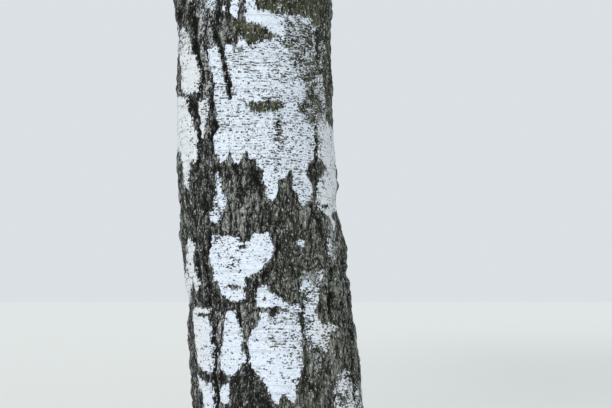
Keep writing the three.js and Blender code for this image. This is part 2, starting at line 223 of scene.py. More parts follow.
def placed_object(name: str, data: bpy.types.ID) -> bpy.types.Object:
    """Makes an object at the origin and links it to the scene."""
    made = bpy.data.objects.new(name, data)
    bpy.context.scene.collection.objects.link(made)
    return made


@dataclass(frozen=True)
class PlainFinish:
    """A finish of one sRGB colour and one roughness."""

    name: str
    colour: int
    roughness: float

    def material(self) -> bpy.types.Material:
        """Builds the material."""
        made = bpy.data.materials.new(self.name)
        made.use_nodes = True
        shader = made.node_tree.nodes["Principled BSDF"]
        shader.inputs["Base Color"].default_value = linear(self.colour)
        shader.inputs["Roughness"].default_value = self.roughness
        return made


def mesh_object(
    name: str, points: np.ndarray, faces: np.ndarray, flat_from: int | None = None, **fields: np.ndarray
) -> bpy.types.Object:
    """Makes a mesh object at the origin from arrays.

    Args:
        name: The object's name.
        points: Places in millimetres, one row each.
        faces: Corner numbers, one row of three or four for each face; a repeated last corner means three.
        flat_from: The first face that is shaded flat, with all after it, or None for all smooth.
        fields: Numbers for each point, kept as named attributes.

    Returns:
        The linked object.
    """
    mesh = bpy.data.meshes.new(name)
    sizes = np.where(faces[:, -1] == faces[:, -2], faces.shape[1] - 1, faces.shape[1])
    keep = np.arange(faces.shape[1])[None, :] < sizes[:, None]
    corners = faces[keep]
    mesh.vertices.add(len(points))
    mesh.vertices.foreach_set("co", (points * MM).astype(np.float32).ravel())
    mesh.loops.add(len(corners))
    mesh.loops.foreach_set("vertex_index", corners.astype(np.int32))
    mesh.polygons.add(len(faces))
    starts = np.concatenate([[0], np.cumsum(sizes)[:-1]])
    mesh.polygons.foreach_set("loop_start", starts.astype(np.int32))
    shaded_smooth = np.ones(len(faces), dtype=bool)
    if flat_from is not None:
        shaded_smooth[flat_from:] = False
    mesh.polygons.foreach_set("use_smooth", shaded_smooth)
    for key, values in fields.items():
        mesh.attributes.new(key, "FLOAT", "POINT").data.foreach_set("value", values.astype(np.float32))
    mesh.update(calc_edges=True)
    return placed_object(name, mesh)


def finish_piece(
    piece: bpy.types.Object, nodes: list[str], material: bpy.types.Material | None = None
) -> None:
    """Seats a finished piece on the tree.

    Args:
        piece: The object.
        nodes: The frame's nodes that it stands for.
        material: Its material, or None where it has its own already.
    """
    if material is not None:
        piece.data.materials.append(material)
    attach(piece, BODY)
    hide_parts(*nodes)
    piece.data.calc_loop_triangles()
    LOG.info("%s: %d triangles", piece.name, len(piece.data.loop_triangles))


class Numbers:
    """A repeatable stream of numbers from 0 to 1, its own for each seed, as the part's source draws them."""

    def __init__(self, seed: int) -> None:
        """Starts the stream of a seed."""
        self.state = ((seed + 1) * 2654435761) & 0xFFFFFFFF
        for _ in range(4):
            self.next()

    def next(self) -> float:
        """Draws the next number."""
        self.state = (self.state * 1664525 + 1013904223) & 0xFFFFFFFF
        return self.state / 4294967296

    def jitter(self, spread: float) -> float:
        """Draws a number evenly from -half to +half of the spread."""
        return (self.next() - 0.5) * spread


@dataclass(frozen=True)
class TrunkForm:
    """The trunk's line and thickness, as in the part's source."""

    tip_height: float = 16900.0
    breast_height: float = 1300.0
    breast_radius: float = 200.0
    tip_radius: float = 26.0
    taper_power: float = 0.86
    flare_radius: float = 95.0
    flare_fade: float = 270.0
    buttresses: int = 5
    buttress_depth: float = 0.34
    buttress_turn: float = 0.6
    lean_reach: float = 675.0
    lean_recovery: float = 7600.0
    sway: float = 110.0
    sway_length: float = 12400.0
    depth_sway: float = 130.0

    def centre(self, height: np.ndarray) -> np.ndarray:
        """Gives the trunk's centre at each height, one row of three each."""
        share = height / self.tip_height
        lean = -self.lean_reach * (1.0 - np.exp(-height / self.lean_recovery))
        sway = self.sway * share * np.sin(2.0 * math.pi * height / self.sway_length)
        return np.stack([lean + sway, self.depth_sway * share * np.sin(math.pi * share), height], axis=-1)

    def radius(self, height: np.ndarray, angle: np.ndarray) -> np.ndarray:
        """Gives the trunk's radius at each height, in a direction round it."""
        climbed = 1.0 - (height - self.breast_height) / (self.tip_height - self.breast_height)
        taper = np.sign(climbed) * np.abs(climbed) ** self.taper_power
        stem = self.tip_radius + (self.breast_radius - self.tip_radius) * taper
        lobe = 1.0 + self.buttress_depth * np.cos(self.buttresses * angle + self.buttress_turn)
        return stem + self.flare_radius * np.exp(-height / self.flare_fade) * lobe

    def thickness(self, height: float) -> float:
        """Gives the trunk's radius at one height, towards +X."""
        return float(self.radius(np.array(height), np.array(0.0)))


@dataclass(frozen=True)
class PhotoView:
    """The viewpoint of the photograph, from which its marks on the bark are placed."""

    frame_width: float = 612.0
    frame_height: float = 408.0
    lens: float = 50.0
    sensor: float = 36.0
    pitch: float = math.radians(6.4)
    eye: tuple[float, float, float] = (0.0, -2066.0, 1270.0)

    @property
    def focal(self) -> float:
        """The focal length in the frame's pixels."""
        return self.lens / self.sensor * self.frame_width

    def place(self, points: np.ndarray) -> tuple[np.ndarray, np.ndarray]:
        """Finds where points fall in the photograph.

        Args:
            points: Places in millimetres, one row each.

        Returns:
            The pixel place of each, and the length in millimetres of a pixel there.
        """
        away = points - np.array(self.eye)
        ahead = away[:, 1] * math.cos(self.pitch) + away[:, 2] * math.sin(self.pitch)
        above = away[:, 2] * math.cos(self.pitch) - away[:, 1] * math.sin(self.pitch)
        across = self.frame_width / 2.0 + self.focal * away[:, 0] / ahead
        down = self.frame_height / 2.0 - self.focal * above / ahead
        return np.stack([across, down], axis=1), ahead / self.focal


class Cover(Enum):
    """What a mark on the bark is made of."""

    PAPER = "smooth white papery bark"
    CORK = "dark corky bark"
    MOSS = "dark bark with a green-black film"
    SPECKLE = "white bark broken up by dark specks"
    FLECK = "dark bark with white flecks"
    # Painted shade: bark darkened where shade falls, in hollows and under overhanging paper.
    BLACK = "dark bark that is almost black"
    LENTICEL = "white bark crossed by many lenticels"
    SPARSE = "white bark with a few dark specks"


@dataclass(frozen=True)
class Mark:
    """One mark on the bark, with its outline in the photograph's 612 by 408 frame."""

    cover: Cover
    outline: Outline


@dataclass(frozen=True)
class Fissure:
    """A deep crack, with its line in the photograph's 612 by 408 frame and its sizes in millimetres."""

    line: Outline
    half_width: float
    depth: float


MARKS: dict[str, Mark] = {
    "left patch": Mark(Cover.PAPER, (
        (178, 53), (183, 52), (192, 54), (195, 62), (197.5, 68), (198, 80), (197.5, 91), (190, 92),
        (187, 96), (182.5, 94), (180, 85), (180, 71), (178.5, 60),
    )),
    "left strip": Mark(Cover.PAPER, (
        (168, 97), (183, 96), (186, 107), (191, 119.5), (194, 133), (195.5, 146), (194, 160), (191, 167),
        (191.5, 158), (189, 164), (188, 171), (188, 180), (186, 188.5), (183, 188), (182.5, 180),
        (181.5, 169), (180, 155), (177, 150), (168, 144),
    )),
    "wedge": Mark(Cover.PAPER, (
        (197, 98), (208, 98), (207, 109), (205, 121), (204.5, 131), (201, 138.5), (198, 133), (197, 123),
        (196.5, 111),
    )),
    "shoulder": Mark(Cover.PAPER, (
        (206, 50), (216, 44), (219, 52), (221.5, 64), (223, 75), (225, 86), (228, 100), (229, 112),
        (215, 112), (213, 96), (214, 84), (209, 66),
    )),
    "top chip": Mark(Cover.PAPER, ((221, 9), (224, 5), (226, 5), (225.5, 10), (222, 12.5))),
    "top strip": Mark(Cover.PAPER, (
        (231, -14), (238.5, -14), (238.5, 8), (237, 18), (232, 15), (229, 12), (231, 4),
    )),
    "centre": Mark(Cover.PAPER, (
        (243.5, -14), (322, -14), (321, 20), (318, 42), (320, 60), (324, 73), (326, 90), (327, 110),
        (327, 122), (318.5, 127), (316.5, 131), (316, 158), (309, 163), (307, 172), (309, 178), (313, 184),
        (313.5, 192), (311, 200), (308, 203.5), (303, 206), (298.5, 197.5), (294, 185), (291.5, 169),
        (286, 178), (279, 180.5), (278, 189.5), (277, 198.5), (270, 200), (266.5, 197.5), (267.5, 187),
        (262, 180.5), (264, 174.5), (262, 171), (257, 164), (255, 159), (250.5, 158.5), (248, 156.5),
        (246, 151.5), (243.5, 150.5), (241, 156.5), (240, 160), (237.5, 163), (233, 163), (231.5, 161),
        (229.5, 154), (228, 149.5), (226.5, 158.5), (223.5, 162.5), (218, 162), (216.5, 157.5), (217, 154),
        (214, 152), (212.5, 146), (212, 138), (216, 132), (217.5, 126.5), (216, 117), (215, 100),
        (229, 98), (231, 86), (229, 74), (226, 64), (224, 54), (223.5, 45), (228, 42), (232, 46),
        (235, 50), (237, 41), (240, 30), (246, 20), (245, 8),
    )),
    "right strip": Mark(Cover.PAPER, (
        (318, 124), (327, 120), (332, 126), (342, 140), (342, 200), (347, 206), (347, 212), (337, 212),
        (334, 216), (338, 222), (336, 230), (333, 226), (330, 217), (326, 212), (321, 210), (317, 208),
        (318.5, 190), (320, 178), (325, 176), (326.5, 168), (324, 160), (320, 156), (319, 140),
    )),
    "right thread": Mark(Cover.PAPER, ((329.5, 238), (332, 240), (333.5, 255), (331.5, 254))),
    "narrow flake": Mark(Cover.PAPER, (
        (212.5, 196), (222, 192), (227.5, 200), (224, 207), (219.5, 214), (218, 223), (213.5, 224),
        (208, 222), (209, 214), (211, 204),
    )),
    "window": Mark(Cover.PAPER, (
        (209, 230), (212, 235.5), (222, 235.5), (230, 235.5), (237.5, 238), (239, 242), (244.5, 242.5),
        (249, 241), (252.5, 235.5), (260.5, 232), (268.5, 232.5), (271.5, 238), (271.5, 242.5),
        (274.5, 246), (274, 251.5), (271, 261), (265.5, 264.5), (260.5, 269), (254, 273.5), (249, 276.5),
        (243.5, 278), (243.5, 287), (245, 290.5), (244.5, 298.5), (240, 302), (234.5, 301.5), (227.5, 300),
        (223, 295.5), (219.5, 289.5), (216, 282.5), (212, 276), (212.5, 269), (209.5, 264.5), (208, 251.5),
        (207.5, 240),
    )),
    "low left strip": Mark(Cover.PAPER, (
        (187, 236.5), (190.5, 241), (193, 246), (192.5, 261), (194, 269), (194.5, 276), (197, 280.5),
        (196.5, 289.5), (194, 294), (192.5, 285), (191, 278), (189, 289.5), (187, 301), (182, 301),
        (183, 280), (184.5, 270), (185, 250),
    )),
    "chip": Mark(Cover.PAPER, ((299, 240), (303, 238), (306, 241), (305.5, 247), (301.5, 249), (299, 245))),
    "middle ledge": Mark(Cover.PAPER, (
        (256.5, 287), (265.5, 286), (270, 292), (277, 295.5), (283.5, 302), (290, 305), (300, 304),
        (303, 312), (292, 311), (282, 309), (276, 306), (268, 307), (262, 309), (255, 308), (254.5, 301),
        (256, 292),
    )),
    "right ledge": Mark(Cover.PAPER, (
        (303, 282), (312, 276), (321, 272), (326, 273), (322, 286), (320.5, 298), (316, 310), (308, 312),
        (303.5, 302), (300, 292),
    )),
    "low left": Mark(Cover.PAPER, (
        (189, 308), (207, 308), (209.5, 311.5), (206.5, 315), (208.5, 325.5), (211.5, 346), (212.5, 360),
        (211.5, 371.5), (208, 374), (202, 371), (197.5, 366), (194, 353.5), (192.5, 332), (191, 318),
    )),
    "bottom left": Mark(Cover.PAPER, (
        (196, 375), (200.5, 379), (204.5, 384), (209.5, 384), (212, 392), (214.5, 397), (214, 422),
        (203, 422), (202, 397), (197.5, 387),
    )),
    "second column": Mark(Cover.PAPER, (
        (226, 311.5), (235, 310), (236.5, 322), (241, 333), (243.5, 341), (241.5, 348.5), (245.5, 357.5),
        (246, 362.5), (240, 366.5), (236.5, 371.5), (234, 376.5), (226, 375.5), (219.5, 369),
        (218.5, 357.5), (222.5, 342), (223.5, 325.5), (223, 318),
    )),
    "second foot": Mark(Cover.PAPER, (
        (218.5, 388), (228.5, 381.5), (230, 388), (228.5, 403.5), (221, 404.5), (216.5, 399.5),
    )),
    "low centre": Mark(Cover.PAPER, (
        (259.5, 311.5), (267, 313), (272, 319), (278.5, 311.5), (292.5, 310), (300, 316.5), (304, 328),
        (305, 342), (302.5, 355), (304, 366.5), (301.5, 372.5), (300, 383), (296.5, 388), (297.5, 402),
        (291, 404), (285, 395.5), (281, 394.5), (278.5, 403.5), (274.5, 402), (268, 392), (264.5, 383),
        (258, 375.5), (251.5, 369), (248, 361), (247, 348.5), (248.5, 334.5), (256.5, 328), (259.5, 320.5),
    )),
    "low right": Mark(Cover.PAPER, (
        (304, 298), (314, 300), (315.5, 310), (319, 318), (324.5, 324), (330.5, 323), (339.5, 328),
        (330.5, 335.5), (331.5, 346), (328, 352.5), (316.5, 347), (309, 351), (306.5, 338.5), (304, 319),
    )),
    "bottom right": Mark(Cover.PAPER, (
        (338.5, 376), (344.5, 368.5), (351, 371.5), (356, 376.5), (361, 389), (366, 422), (337, 422),
        (336, 389),
    )),
    "upper sliver": Mark(Cover.PAPER, (
        (215, 172), (218, 171), (221, 184), (221.5, 194), (216, 194), (215, 184),
    )),
    "right band chip": Mark(Cover.PAPER, (
        (318, 44), (325, 40), (328, 48), (326, 56), (323, 62), (325, 72), (320, 72), (318, 60),
    )),
    "top crumbs": Mark(Cover.PAPER, ((204, -14), (214, -14), (214, 7), (210, 10), (205, 4))),
    "top left crumbs": Mark(Cover.PAPER, ((185, -14), (191, -14), (191, 4), (187, 8), (184, 2))),
    "left edge crumbs": Mark(Cover.PAPER, (
        (176, 30), (183, 26), (186, 32), (189, 42), (191, 52), (177, 54),
    )),
    "spire": Mark(Cover.CORK, (
        (239.5, 1), (241, 8), (243, 14), (246, 20), (248, 24), (236, 24), (236.5, 17), (238, 10),
    )),
    "left tongue": Mark(Cover.CORK, ((229, 14), (238, 20), (238, 40), (236, 49.5), (233, 46), (230, 38))),
    "top band": Mark(Cover.MOSS, (
        (254, -14), (256, 4), (260, 10), (268, 10.5), (274, 13), (281, 13.5), (277, 6), (280, 5),
        (284, 11.5), (292, 14), (302, 15), (311, 17), (313, 24), (318, 27), (326, 20), (326, -14),
    )),
    # Painted shade: a dark hollow low in the middle, the shade under the paper's overhanging lobes, and a
    # small hollow on the right.
    "shaded arch": Mark(Cover.BLACK, (
        (246.5, 363.5), (251.5, 367.5), (259, 374), (263, 379), (266, 388), (272, 399), (277, 424),
        (228, 424), (230, 396), (231.5, 383), (237.5, 371),
    )),
    "shadow under lobes": Mark(Cover.BLACK, (
        (214, 160), (228, 165), (240, 166), (249, 163), (262, 176), (266, 190), (258, 186), (246, 178),
        (232, 176), (220, 178), (212, 172),
    )),
    "right hollow shade": Mark(Cover.BLACK, ((315, 304), (326, 303), (329, 316), (326, 323), (319, 317))),
    "lenticel field": Mark(Cover.LENTICEL, (
        (220, 52), (240, 44), (290, 40), (318, 30), (324, 40), (322, 215), (296, 208), (276, 190),
        (262, 168), (244, 146), (214, 140), (206, 96),
    )),
    "left lenticels": Mark(Cover.LENTICEL, ((196, 66), (216, 60), (216, 126), (200, 134), (196, 108))),
    "low lenticels": Mark(Cover.LENTICEL, (
        (262, 318), (284, 308), (306, 308), (306, 372), (292, 366), (284, 352), (266, 346),
    )),
    "smudge": Mark(Cover.MOSS, (
        (232, 20), (239, 20), (250, 22), (257, 24), (267.5, 27), (271, 33), (278, 35.5), (273, 37.5),
        (262, 39), (253, 42.5), (249, 46), (246, 40), (238, 36),
    )),
    "lens": Mark(Cover.MOSS, (
        (246, 104), (251, 102), (262, 101.5), (275, 101), (284, 103), (283, 107), (276, 110),
        (264, 111.5), (254, 110), (248, 107),
    )),
    "mouth": Mark(Cover.CORK, ((227, 286), (231, 284), (236, 285), (240, 287), (236, 289), (230, 288.5))),
    "window slit": Mark(Cover.CORK, ((237.5, 246), (241, 244.5), (246, 245), (245.5, 247.5), (239, 247.5))),
    "strip blot": Mark(Cover.CORK, ((322.5, 205), (328, 204), (330.5, 207), (326, 209.5), (322.5, 208))),
    "ledge band": Mark(Cover.CORK, (
        (255, 308), (266, 307.5), (278, 309), (288, 309), (287, 312), (276, 314.5), (266, 313), (256, 312),
    )),
    "low cross": Mark(Cover.CORK, ((194, 313.5), (206, 314), (206, 316.5), (196, 316.5))),
    "upper right specks": Mark(Cover.SPECKLE, (
        (284, 14), (314, 24), (318, 40), (320, 62), (318, 82), (306, 84), (296, 74), (288, 58), (284, 36),
    )),
    "right specks": Mark(Cover.SPECKLE, (
        (306, 84), (324, 76), (327, 110), (327, 122), (317, 128), (306, 126), (299, 108),
    )),
    "streak specks": Mark(Cover.SPECKLE, (
        (274, 110), (284, 111), (285, 124), (284, 142), (280, 146), (276, 132), (273, 120),
    )),
    "flake specks": Mark(Cover.SPARSE, ((206, 192), (230, 190), (228, 212), (220, 226), (206, 224))),
    "window specks": Mark(Cover.SPARSE, (
        (207, 236), (238, 238), (248, 246), (242, 262), (228, 268), (210, 262),
    )),
    "slit specks": Mark(Cover.SPECKLE, ((226, 239), (241, 246), (239, 251), (228, 248))),
    "ledge specks": Mark(Cover.SPECKLE, (
        (284, 296), (300, 290), (304, 276), (320, 270), (322, 284), (312, 296), (304, 304), (292, 314),
        (284, 312),
    )),
    "low right specks": Mark(Cover.SPARSE, (
        (296, 316), (312, 296), (324, 280), (326, 300), (334, 324), (332, 352), (296, 358), (292, 336),
    )),
    "crumb specks": Mark(Cover.SPECKLE, ((174, -24), (220, -24), (216, 12), (190, 20), (192, 50), (172, 51))),
    "chip specks": Mark(Cover.SPECKLE, ((314, 38), (332, 36), (332, 78), (314, 78))),
    "sliver specks": Mark(Cover.SPECKLE, ((211, 168), (224, 168), (226, 192), (211, 192))),
    "bottom specks": Mark(Cover.SPECKLE, ((336, 366), (364, 366), (368, 424), (334, 424))),
    "second plate flecks": Mark(Cover.FLECK, ((215, 312), (222, 312), (222, 330), (219, 372), (215, 372))),
    "left plate flecks": Mark(Cover.FLECK, (
        (195, -14), (214, -14), (214, 40), (218, 56), (220, 74), (212, 78), (208, 98), (198, 98),
        (202, 76), (200, 62), (196, 48),
    )),
    "left edge flecks": Mark(Cover.FLECK, ((168, 28), (186, 26), (190, 40), (190, 54), (168, 56))),
    "upper flake flecks": Mark(Cover.FLECK, ((211, 174), (219, 176), (223, 194), (211, 196))),
    "knot flecks": Mark(Cover.FLECK, ((298, 268), (310, 272), (328, 266), (328, 284), (300, 284))),
    "right low flecks": Mark(Cover.FLECK, ((311, 352), (325, 354), (324, 370), (316, 375), (311, 366))),
    "right thread flecks": Mark(Cover.FLECK, ((328, 224), (338, 224), (338, 262), (328, 262))),
}

FISSURES: tuple[Fissure, ...] = (
    Fissure(((191.5, -20), (193, 38), (194.5, 52), (199.5, 64), (200.5, 75), (199.5, 98)), 6.0, 12.0),
    Fissure(((216, -20), (216, 34), (219.5, 46), (223, 64), (225, 75), (227.5, 86), (229, 98)), 4.6, 9.0),
    Fissure(((186, 98), (193, 111.5), (196.5, 123), (197.5, 140), (197.5, 168)), 7.0, 10.0),
    Fissure(((210, 78), (210, 100), (212, 114), (214, 126), (209, 142)), 5.0, 7.0),
    Fissure(((318, 26), (319, 60), (322, 72)), 4.0, 6.0),
    Fissure(((317.5, 128), (317.5, 160), (318, 212)), 3.5, 6.0),
    Fissure(((303, 300), (303.5, 326), (305, 352)), 3.0, 5.0),
    Fissure(((207, 232), (205, 262), (208, 296), (211, 320), (213, 372), (216, 424)), 5.6, 9.0),
    Fissure(((188, -20), (176, 30), (174, 60)), 4.0, 6.0),
    Fissure(((204, 168), (203.5, 198), (207, 216), (207, 232)), 3.8, 6.0),
    Fissure(((192.5, 240), (196.5, 262), (199, 302)), 4.2, 7.0),
    Fissure(((252, 168), (259, 184), (264, 200), (262, 224)), 3.4, 5.0),
    Fissure(((275, 230), (279, 248), (272, 268), (254, 284), (250, 302)), 3.2, 5.0),
    Fissure(((313, 206), (322, 226), (329, 250), (333, 276), (331, 312)), 4.2, 7.0),
    Fissure(((343, 262), (349, 300), (352, 345), (357, 400)), 4.2, 7.0),
    Fissure(((236.5, 304), (240, 328), (245, 342), (247, 364)), 3.0, 6.0),
    Fissure(((309, 354), (307, 384), (310, 424)), 3.4, 5.0),
)


@dataclass(frozen=True)
class Knot:
    """A stub that the bark has healed over, or a plain swelling or hollow in the bark.

    Its place and half sizes are in the photograph's 612 by 408 frame.
    """

    place: tuple[float, float]
    half: tuple[float, float]
    rings: float
    swell: float
    healed: bool = True

    def ring(self, place: np.ndarray) -> np.ndarray:
        """Measures how far out each point lies, as 1 on the knot's rim."""
        across, down = ((place - np.array(self.place)) / np.array(self.half)).T
        return np.hypot(across, down + 0.25 * across)


KNOTS: tuple[Knot, ...] = (
    Knot((309, 263), (13, 8.5), 1.9, 4.0),
    Knot((222.5, 34), (6, 6), 0.0, 5.0),
    Knot((346, 250), (8, 13), 0.0, 3.0, healed=False),
    Knot((351, 273), (9, 6.5), 0.0, -9.0, healed=False),
    Knot((173, -4), (14, 34), 0.0, 9.0, healed=False),
    Knot((333, -4), (12, 26), 0.0, 6.0, healed=False),
    Knot((176, 212), (10, 26), 0.0, -7.0, healed=False),
    Knot((340, 206), (9, 20), 0.0, -7.0, healed=False),
    Knot((185, 307), (9, 18), 0.0, -6.0, healed=False),
)


@dataclass(frozen=True)
class BarkFields:
    """What the bark is like at each point of a surface."""

    paper: np.ndarray
    speckle: np.ndarray
    fleck: np.ndarray
    moss: np.ndarray
    lenticel: np.ndarray
    worn: np.ndarray
    ridge: np.ndarray
    relief: np.ndarray

    def attributes(self) -> dict[str, np.ndarray]:
        """Gives the fields that the bark's material reads."""
        read = {name: getattr(self, name) for name in BARK_READS if name != "young"}
        return {**read, "young": np.zeros(len(self.paper))}


@dataclass(frozen=True)
class Scar:
    """The dark brow over a branch, or where one was, that runs down on both sides of it."""

    angle: float
    height: float
    width: float
    slope: float = 0.42
    lean: float = 0.0


@dataclass
class Bark:
    """The bark of the trunk: where it is white paper and where dark cork, and how far it stands out.

    The sides and the top are places in the photograph's frame, from where a change begins to where it ends.
    """

    form: TrunkForm
    view: PhotoView = field(default_factory=PhotoView)
    scars: list[Scar] = field(default_factory=list)
    reach: float = 40.0
    cork_level: float = -6.0
    cork_swell: float = 5.5
    cork_ridge: float = 9.0
    paper_level: float = -4.5
    chart_blend: float = 34.0
    soft_edge: float = 0.45
    scar_thickness: float = 0.15
    scar_black: float = 0.45
    crack_depth: float = 11.0
    crack_heights: tuple[float, float] = (4200.0, 1500.0)
    crack_shade: float = 0.055
    photo_middle: float = 1500.0
    photo_span: float = 900.0
    full_facing: float = 0.14
    edge_facing: tuple[float, float] = (-0.5, -0.25)
    lit_left_side: tuple[float, float] = (212.0, 196.0)
    lit_right_side: tuple[float, float] = (306.0, 328.0)
    painted_shade_side: tuple[float, float] = (268.0, 236.0)
    painted_light_side: tuple[float, float] = (268.0, 310.0)
    speckled_side: tuple[float, float] = (250.0, 310.0)
    lit_clear_side: tuple[float, float] = (312.0, 324.0)
    green_side: tuple[float, float] = (225.0, 300.0)
    film_side: tuple[float, float] = (250.0, 290.0)
    film_top: tuple[float, float] = (220.0, 160.0)
    grey_level: float = 0.135
    grey_drift: float = 0.5
    crowded: float = 0.37
    sparse: float = 0.24
    wander: float = 1.8
    ragged: float = 2.5
    cork_above: float = 0.1
    cork_at_foot: float = 0.86
    cork_fade: float = 1750.0
    blotch_depth: float = 165.0
    arc_depth: float = 9.0
    bend_reach: float = 17.0

    def rule_paper(self, points: np.ndarray, height: np.ndarray) -> np.ndarray:
        """Deals out paper and cork by rule: cork at the foot, and less of it higher up."""
        cork_share = self.cork_above + self.cork_at_foot * np.exp(-height / self.cork_fade)
        blotch = 0.66 * noise(points, Grain.BLOTCH)
        blotch += 0.36 * noise(points, Grain.SMALL_BLOTCH) + 0.2 * noise(points, Grain.FINE_BLOTCH)
        level = 0.095 * np.log(cork_share / (1.0 - cork_share))
        return (blotch - level) * self.blotch_depth

    def scar_depth(self, angle: np.ndarray, height: np.ndarray, scar: Scar) -> np.ndarray:
        """Measures how deep each point lies inside a scar, which is thick in the middle and tapers off."""
        turn = (angle - scar.angle + math.pi) % (2.0 * math.pi) - math.pi
        across = np.abs(turn) * self.form.thickness(scar.height)
        span = 0.5 * scar.width * (1.0 + scar.lean * np.sign(turn))
        part = across / span
        fall = height - scar.height + across * (scar.slope + 0.4 * part)
        thick = self.scar_thickness * scar.width * np.clip(1.0 - part, 0.0, 1.0) ** 0.8
        return thick - np.abs(fall) - np.maximum(across - span, 0.0)

    def chart(self, points: np.ndarray) -> tuple[np.ndarray, dict[Cover, np.ndarray], np.ndarray]:
        """Reads the marks of the photograph at points that it shows.

        Args:
            points: Places on the trunk in millimetres.

        Returns:
            How deep each point lies in paper, how deep in each cover, and the crack's depth, in millimetres.
        """
        place, pixel = self.view.place(points)
        wander = np.stack([noise(points, Grain.WANDER_ACROSS), noise(points, Grain.WANDER_DOWN)], axis=1)
        ragged = np.stack([noise(points, Grain.RAGGED_ACROSS), noise(points, Grain.RAGGED_DOWN)], axis=1)
        place = place + self.wander * wander + self.ragged * ragged
        depths = {cover: np.full(len(points), -self.reach) for cover in Cover}
        for mark in MARKS.values():
            found = outline_depth(place, mark.outline) * pixel
            depths[mark.cover] = np.maximum(depths[mark.cover], found)
        paper = np.minimum(depths[Cover.PAPER], -depths[Cover.CORK])
        paper = np.minimum(paper, -self.soft_edge * depths[Cover.MOSS])
        crack = np.zeros(len(points))
        for fissure in FISSURES:
            half_width = fissure.half_width * (1.0 + 1.1 * noise(points, Grain.CRACK_WIDTH))
            away = stroke_distance(place, fissure.line) * pixel
            paper = np.minimum(paper, away - 0.8 * half_width)
            crack = np.maximum(crack, fissure.depth * smooth(1.5, 0.2, away / half_width))
        return paper, depths, crack

    def fields(self, points: np.ndarray, outward: np.ndarray, angle: np.ndarray) -> BarkFields:
        """Works out the bark on a stretch of trunk.

        Args:
            points: Places on the smooth trunk in millimetres, one row each.
            outward: The way out of the trunk at each point.
            angle: The direction of each point round the trunk.

        Returns:
            The fields at each point.
        """
        height = points[:, 2]
        paper = self.rule_paper(points, height)
        moss = smooth(-0.05, 0.4, noise(points, Grain.MOSS) + 0.25 * np.sin(angle + 0.4))
        speckle = 0.55 * smooth(0.0, 0.35, noise(points, Grain.SPECKLE))
        fleck = 0.25 + 0.5 * smooth(0.05, 0.3, noise(points, Grain.FLECK))
        lenticel = 0.45 + 0.8 * noise(points, Grain.LENTICEL)
        worn = 0.5 + 1.2 * noise(points, Grain.WORN)
        black = np.zeros(len(points))
        crack = self.crack_depth * smooth(0.035, 0.006, np.abs(noise(points, Grain.CRACK)))
        crack *= smooth(*self.crack_heights, height)
        paper = np.where(crack > 3.0, np.minimum(paper, 1.0 - crack), paper)
        for scar in self.scars:
            near = np.abs(height - scar.height) < 3.0 * scar.width
            depth = self.scar_depth(angle[near], height[near], scar)
            depth += 14.0 * noise(points[near], Grain.SCAR_EDGE) * smooth(-30.0, -5.0, depth)
            paper[near] = np.minimum(paper[near], -2.5 * depth)
            black[near] = np.maximum(black[near], self.scar_black * smooth(-5.0, 4.0, depth))
        sight = unit(np.array(self.view.eye) - points)
        facing = np.sum(sight * outward, axis=1)
        place, _ = self.view.place(points)
        beyond = np.maximum(-place[:, 1], place[:, 1] - self.view.frame_height)
        weight = smooth(0.0, self.full_facing, facing) * smooth(self.chart_blend, 6.0, beyond)
        band = np.abs(height - self.photo_middle) < self.photo_span
        weight = np.where(band, weight, 0.0)
        shown = weight > 0.0
        share, (across, down) = weight[shown], place[shown].T

        def show(rule: np.ndarray, charted: np.ndarray) -> None:
            """Puts what the photograph shows in place of the rule, as far as it is seen."""
            rule[shown] += (charted - rule[shown]) * share

        charted, depths, cut = self.chart(points[shown])
        show(paper, np.clip(charted, -self.reach, self.reach))
        show(lenticel, 0.12 + 0.68 * smooth(-14.0, 14.0, depths[Cover.LENTICEL]))
        # Painted light: toward both sides of the trunk the paper is mixed to its lighter neutral white, as
        # where the sun falls, while the middle keeps its bluish tint; the rest of the mix is wear.
        show(worn, 0.12 + 0.85 * (smooth(*self.lit_left_side, across) + smooth(*self.lit_right_side, across)))
        # Painted shade and light: the shade marks darken the cork, which is also darkened toward the left of
        # the trunk and lightened toward its right.
        dark = 0.21 * smooth(-5.0, 12.0, depths[Cover.BLACK])
        dark += 0.06 * smooth(*self.painted_shade_side, across) - 0.09 * smooth(*self.painted_light_side, across)
        show(black, dark)
        show(crack, cut)
        speckle[shown] *= 1.0 - share
        drift = noise(points[shown], Grain.DRIFT)
        grey = self.grey_level + 0.14 * smooth(*self.speckled_side, across) + self.grey_drift * drift
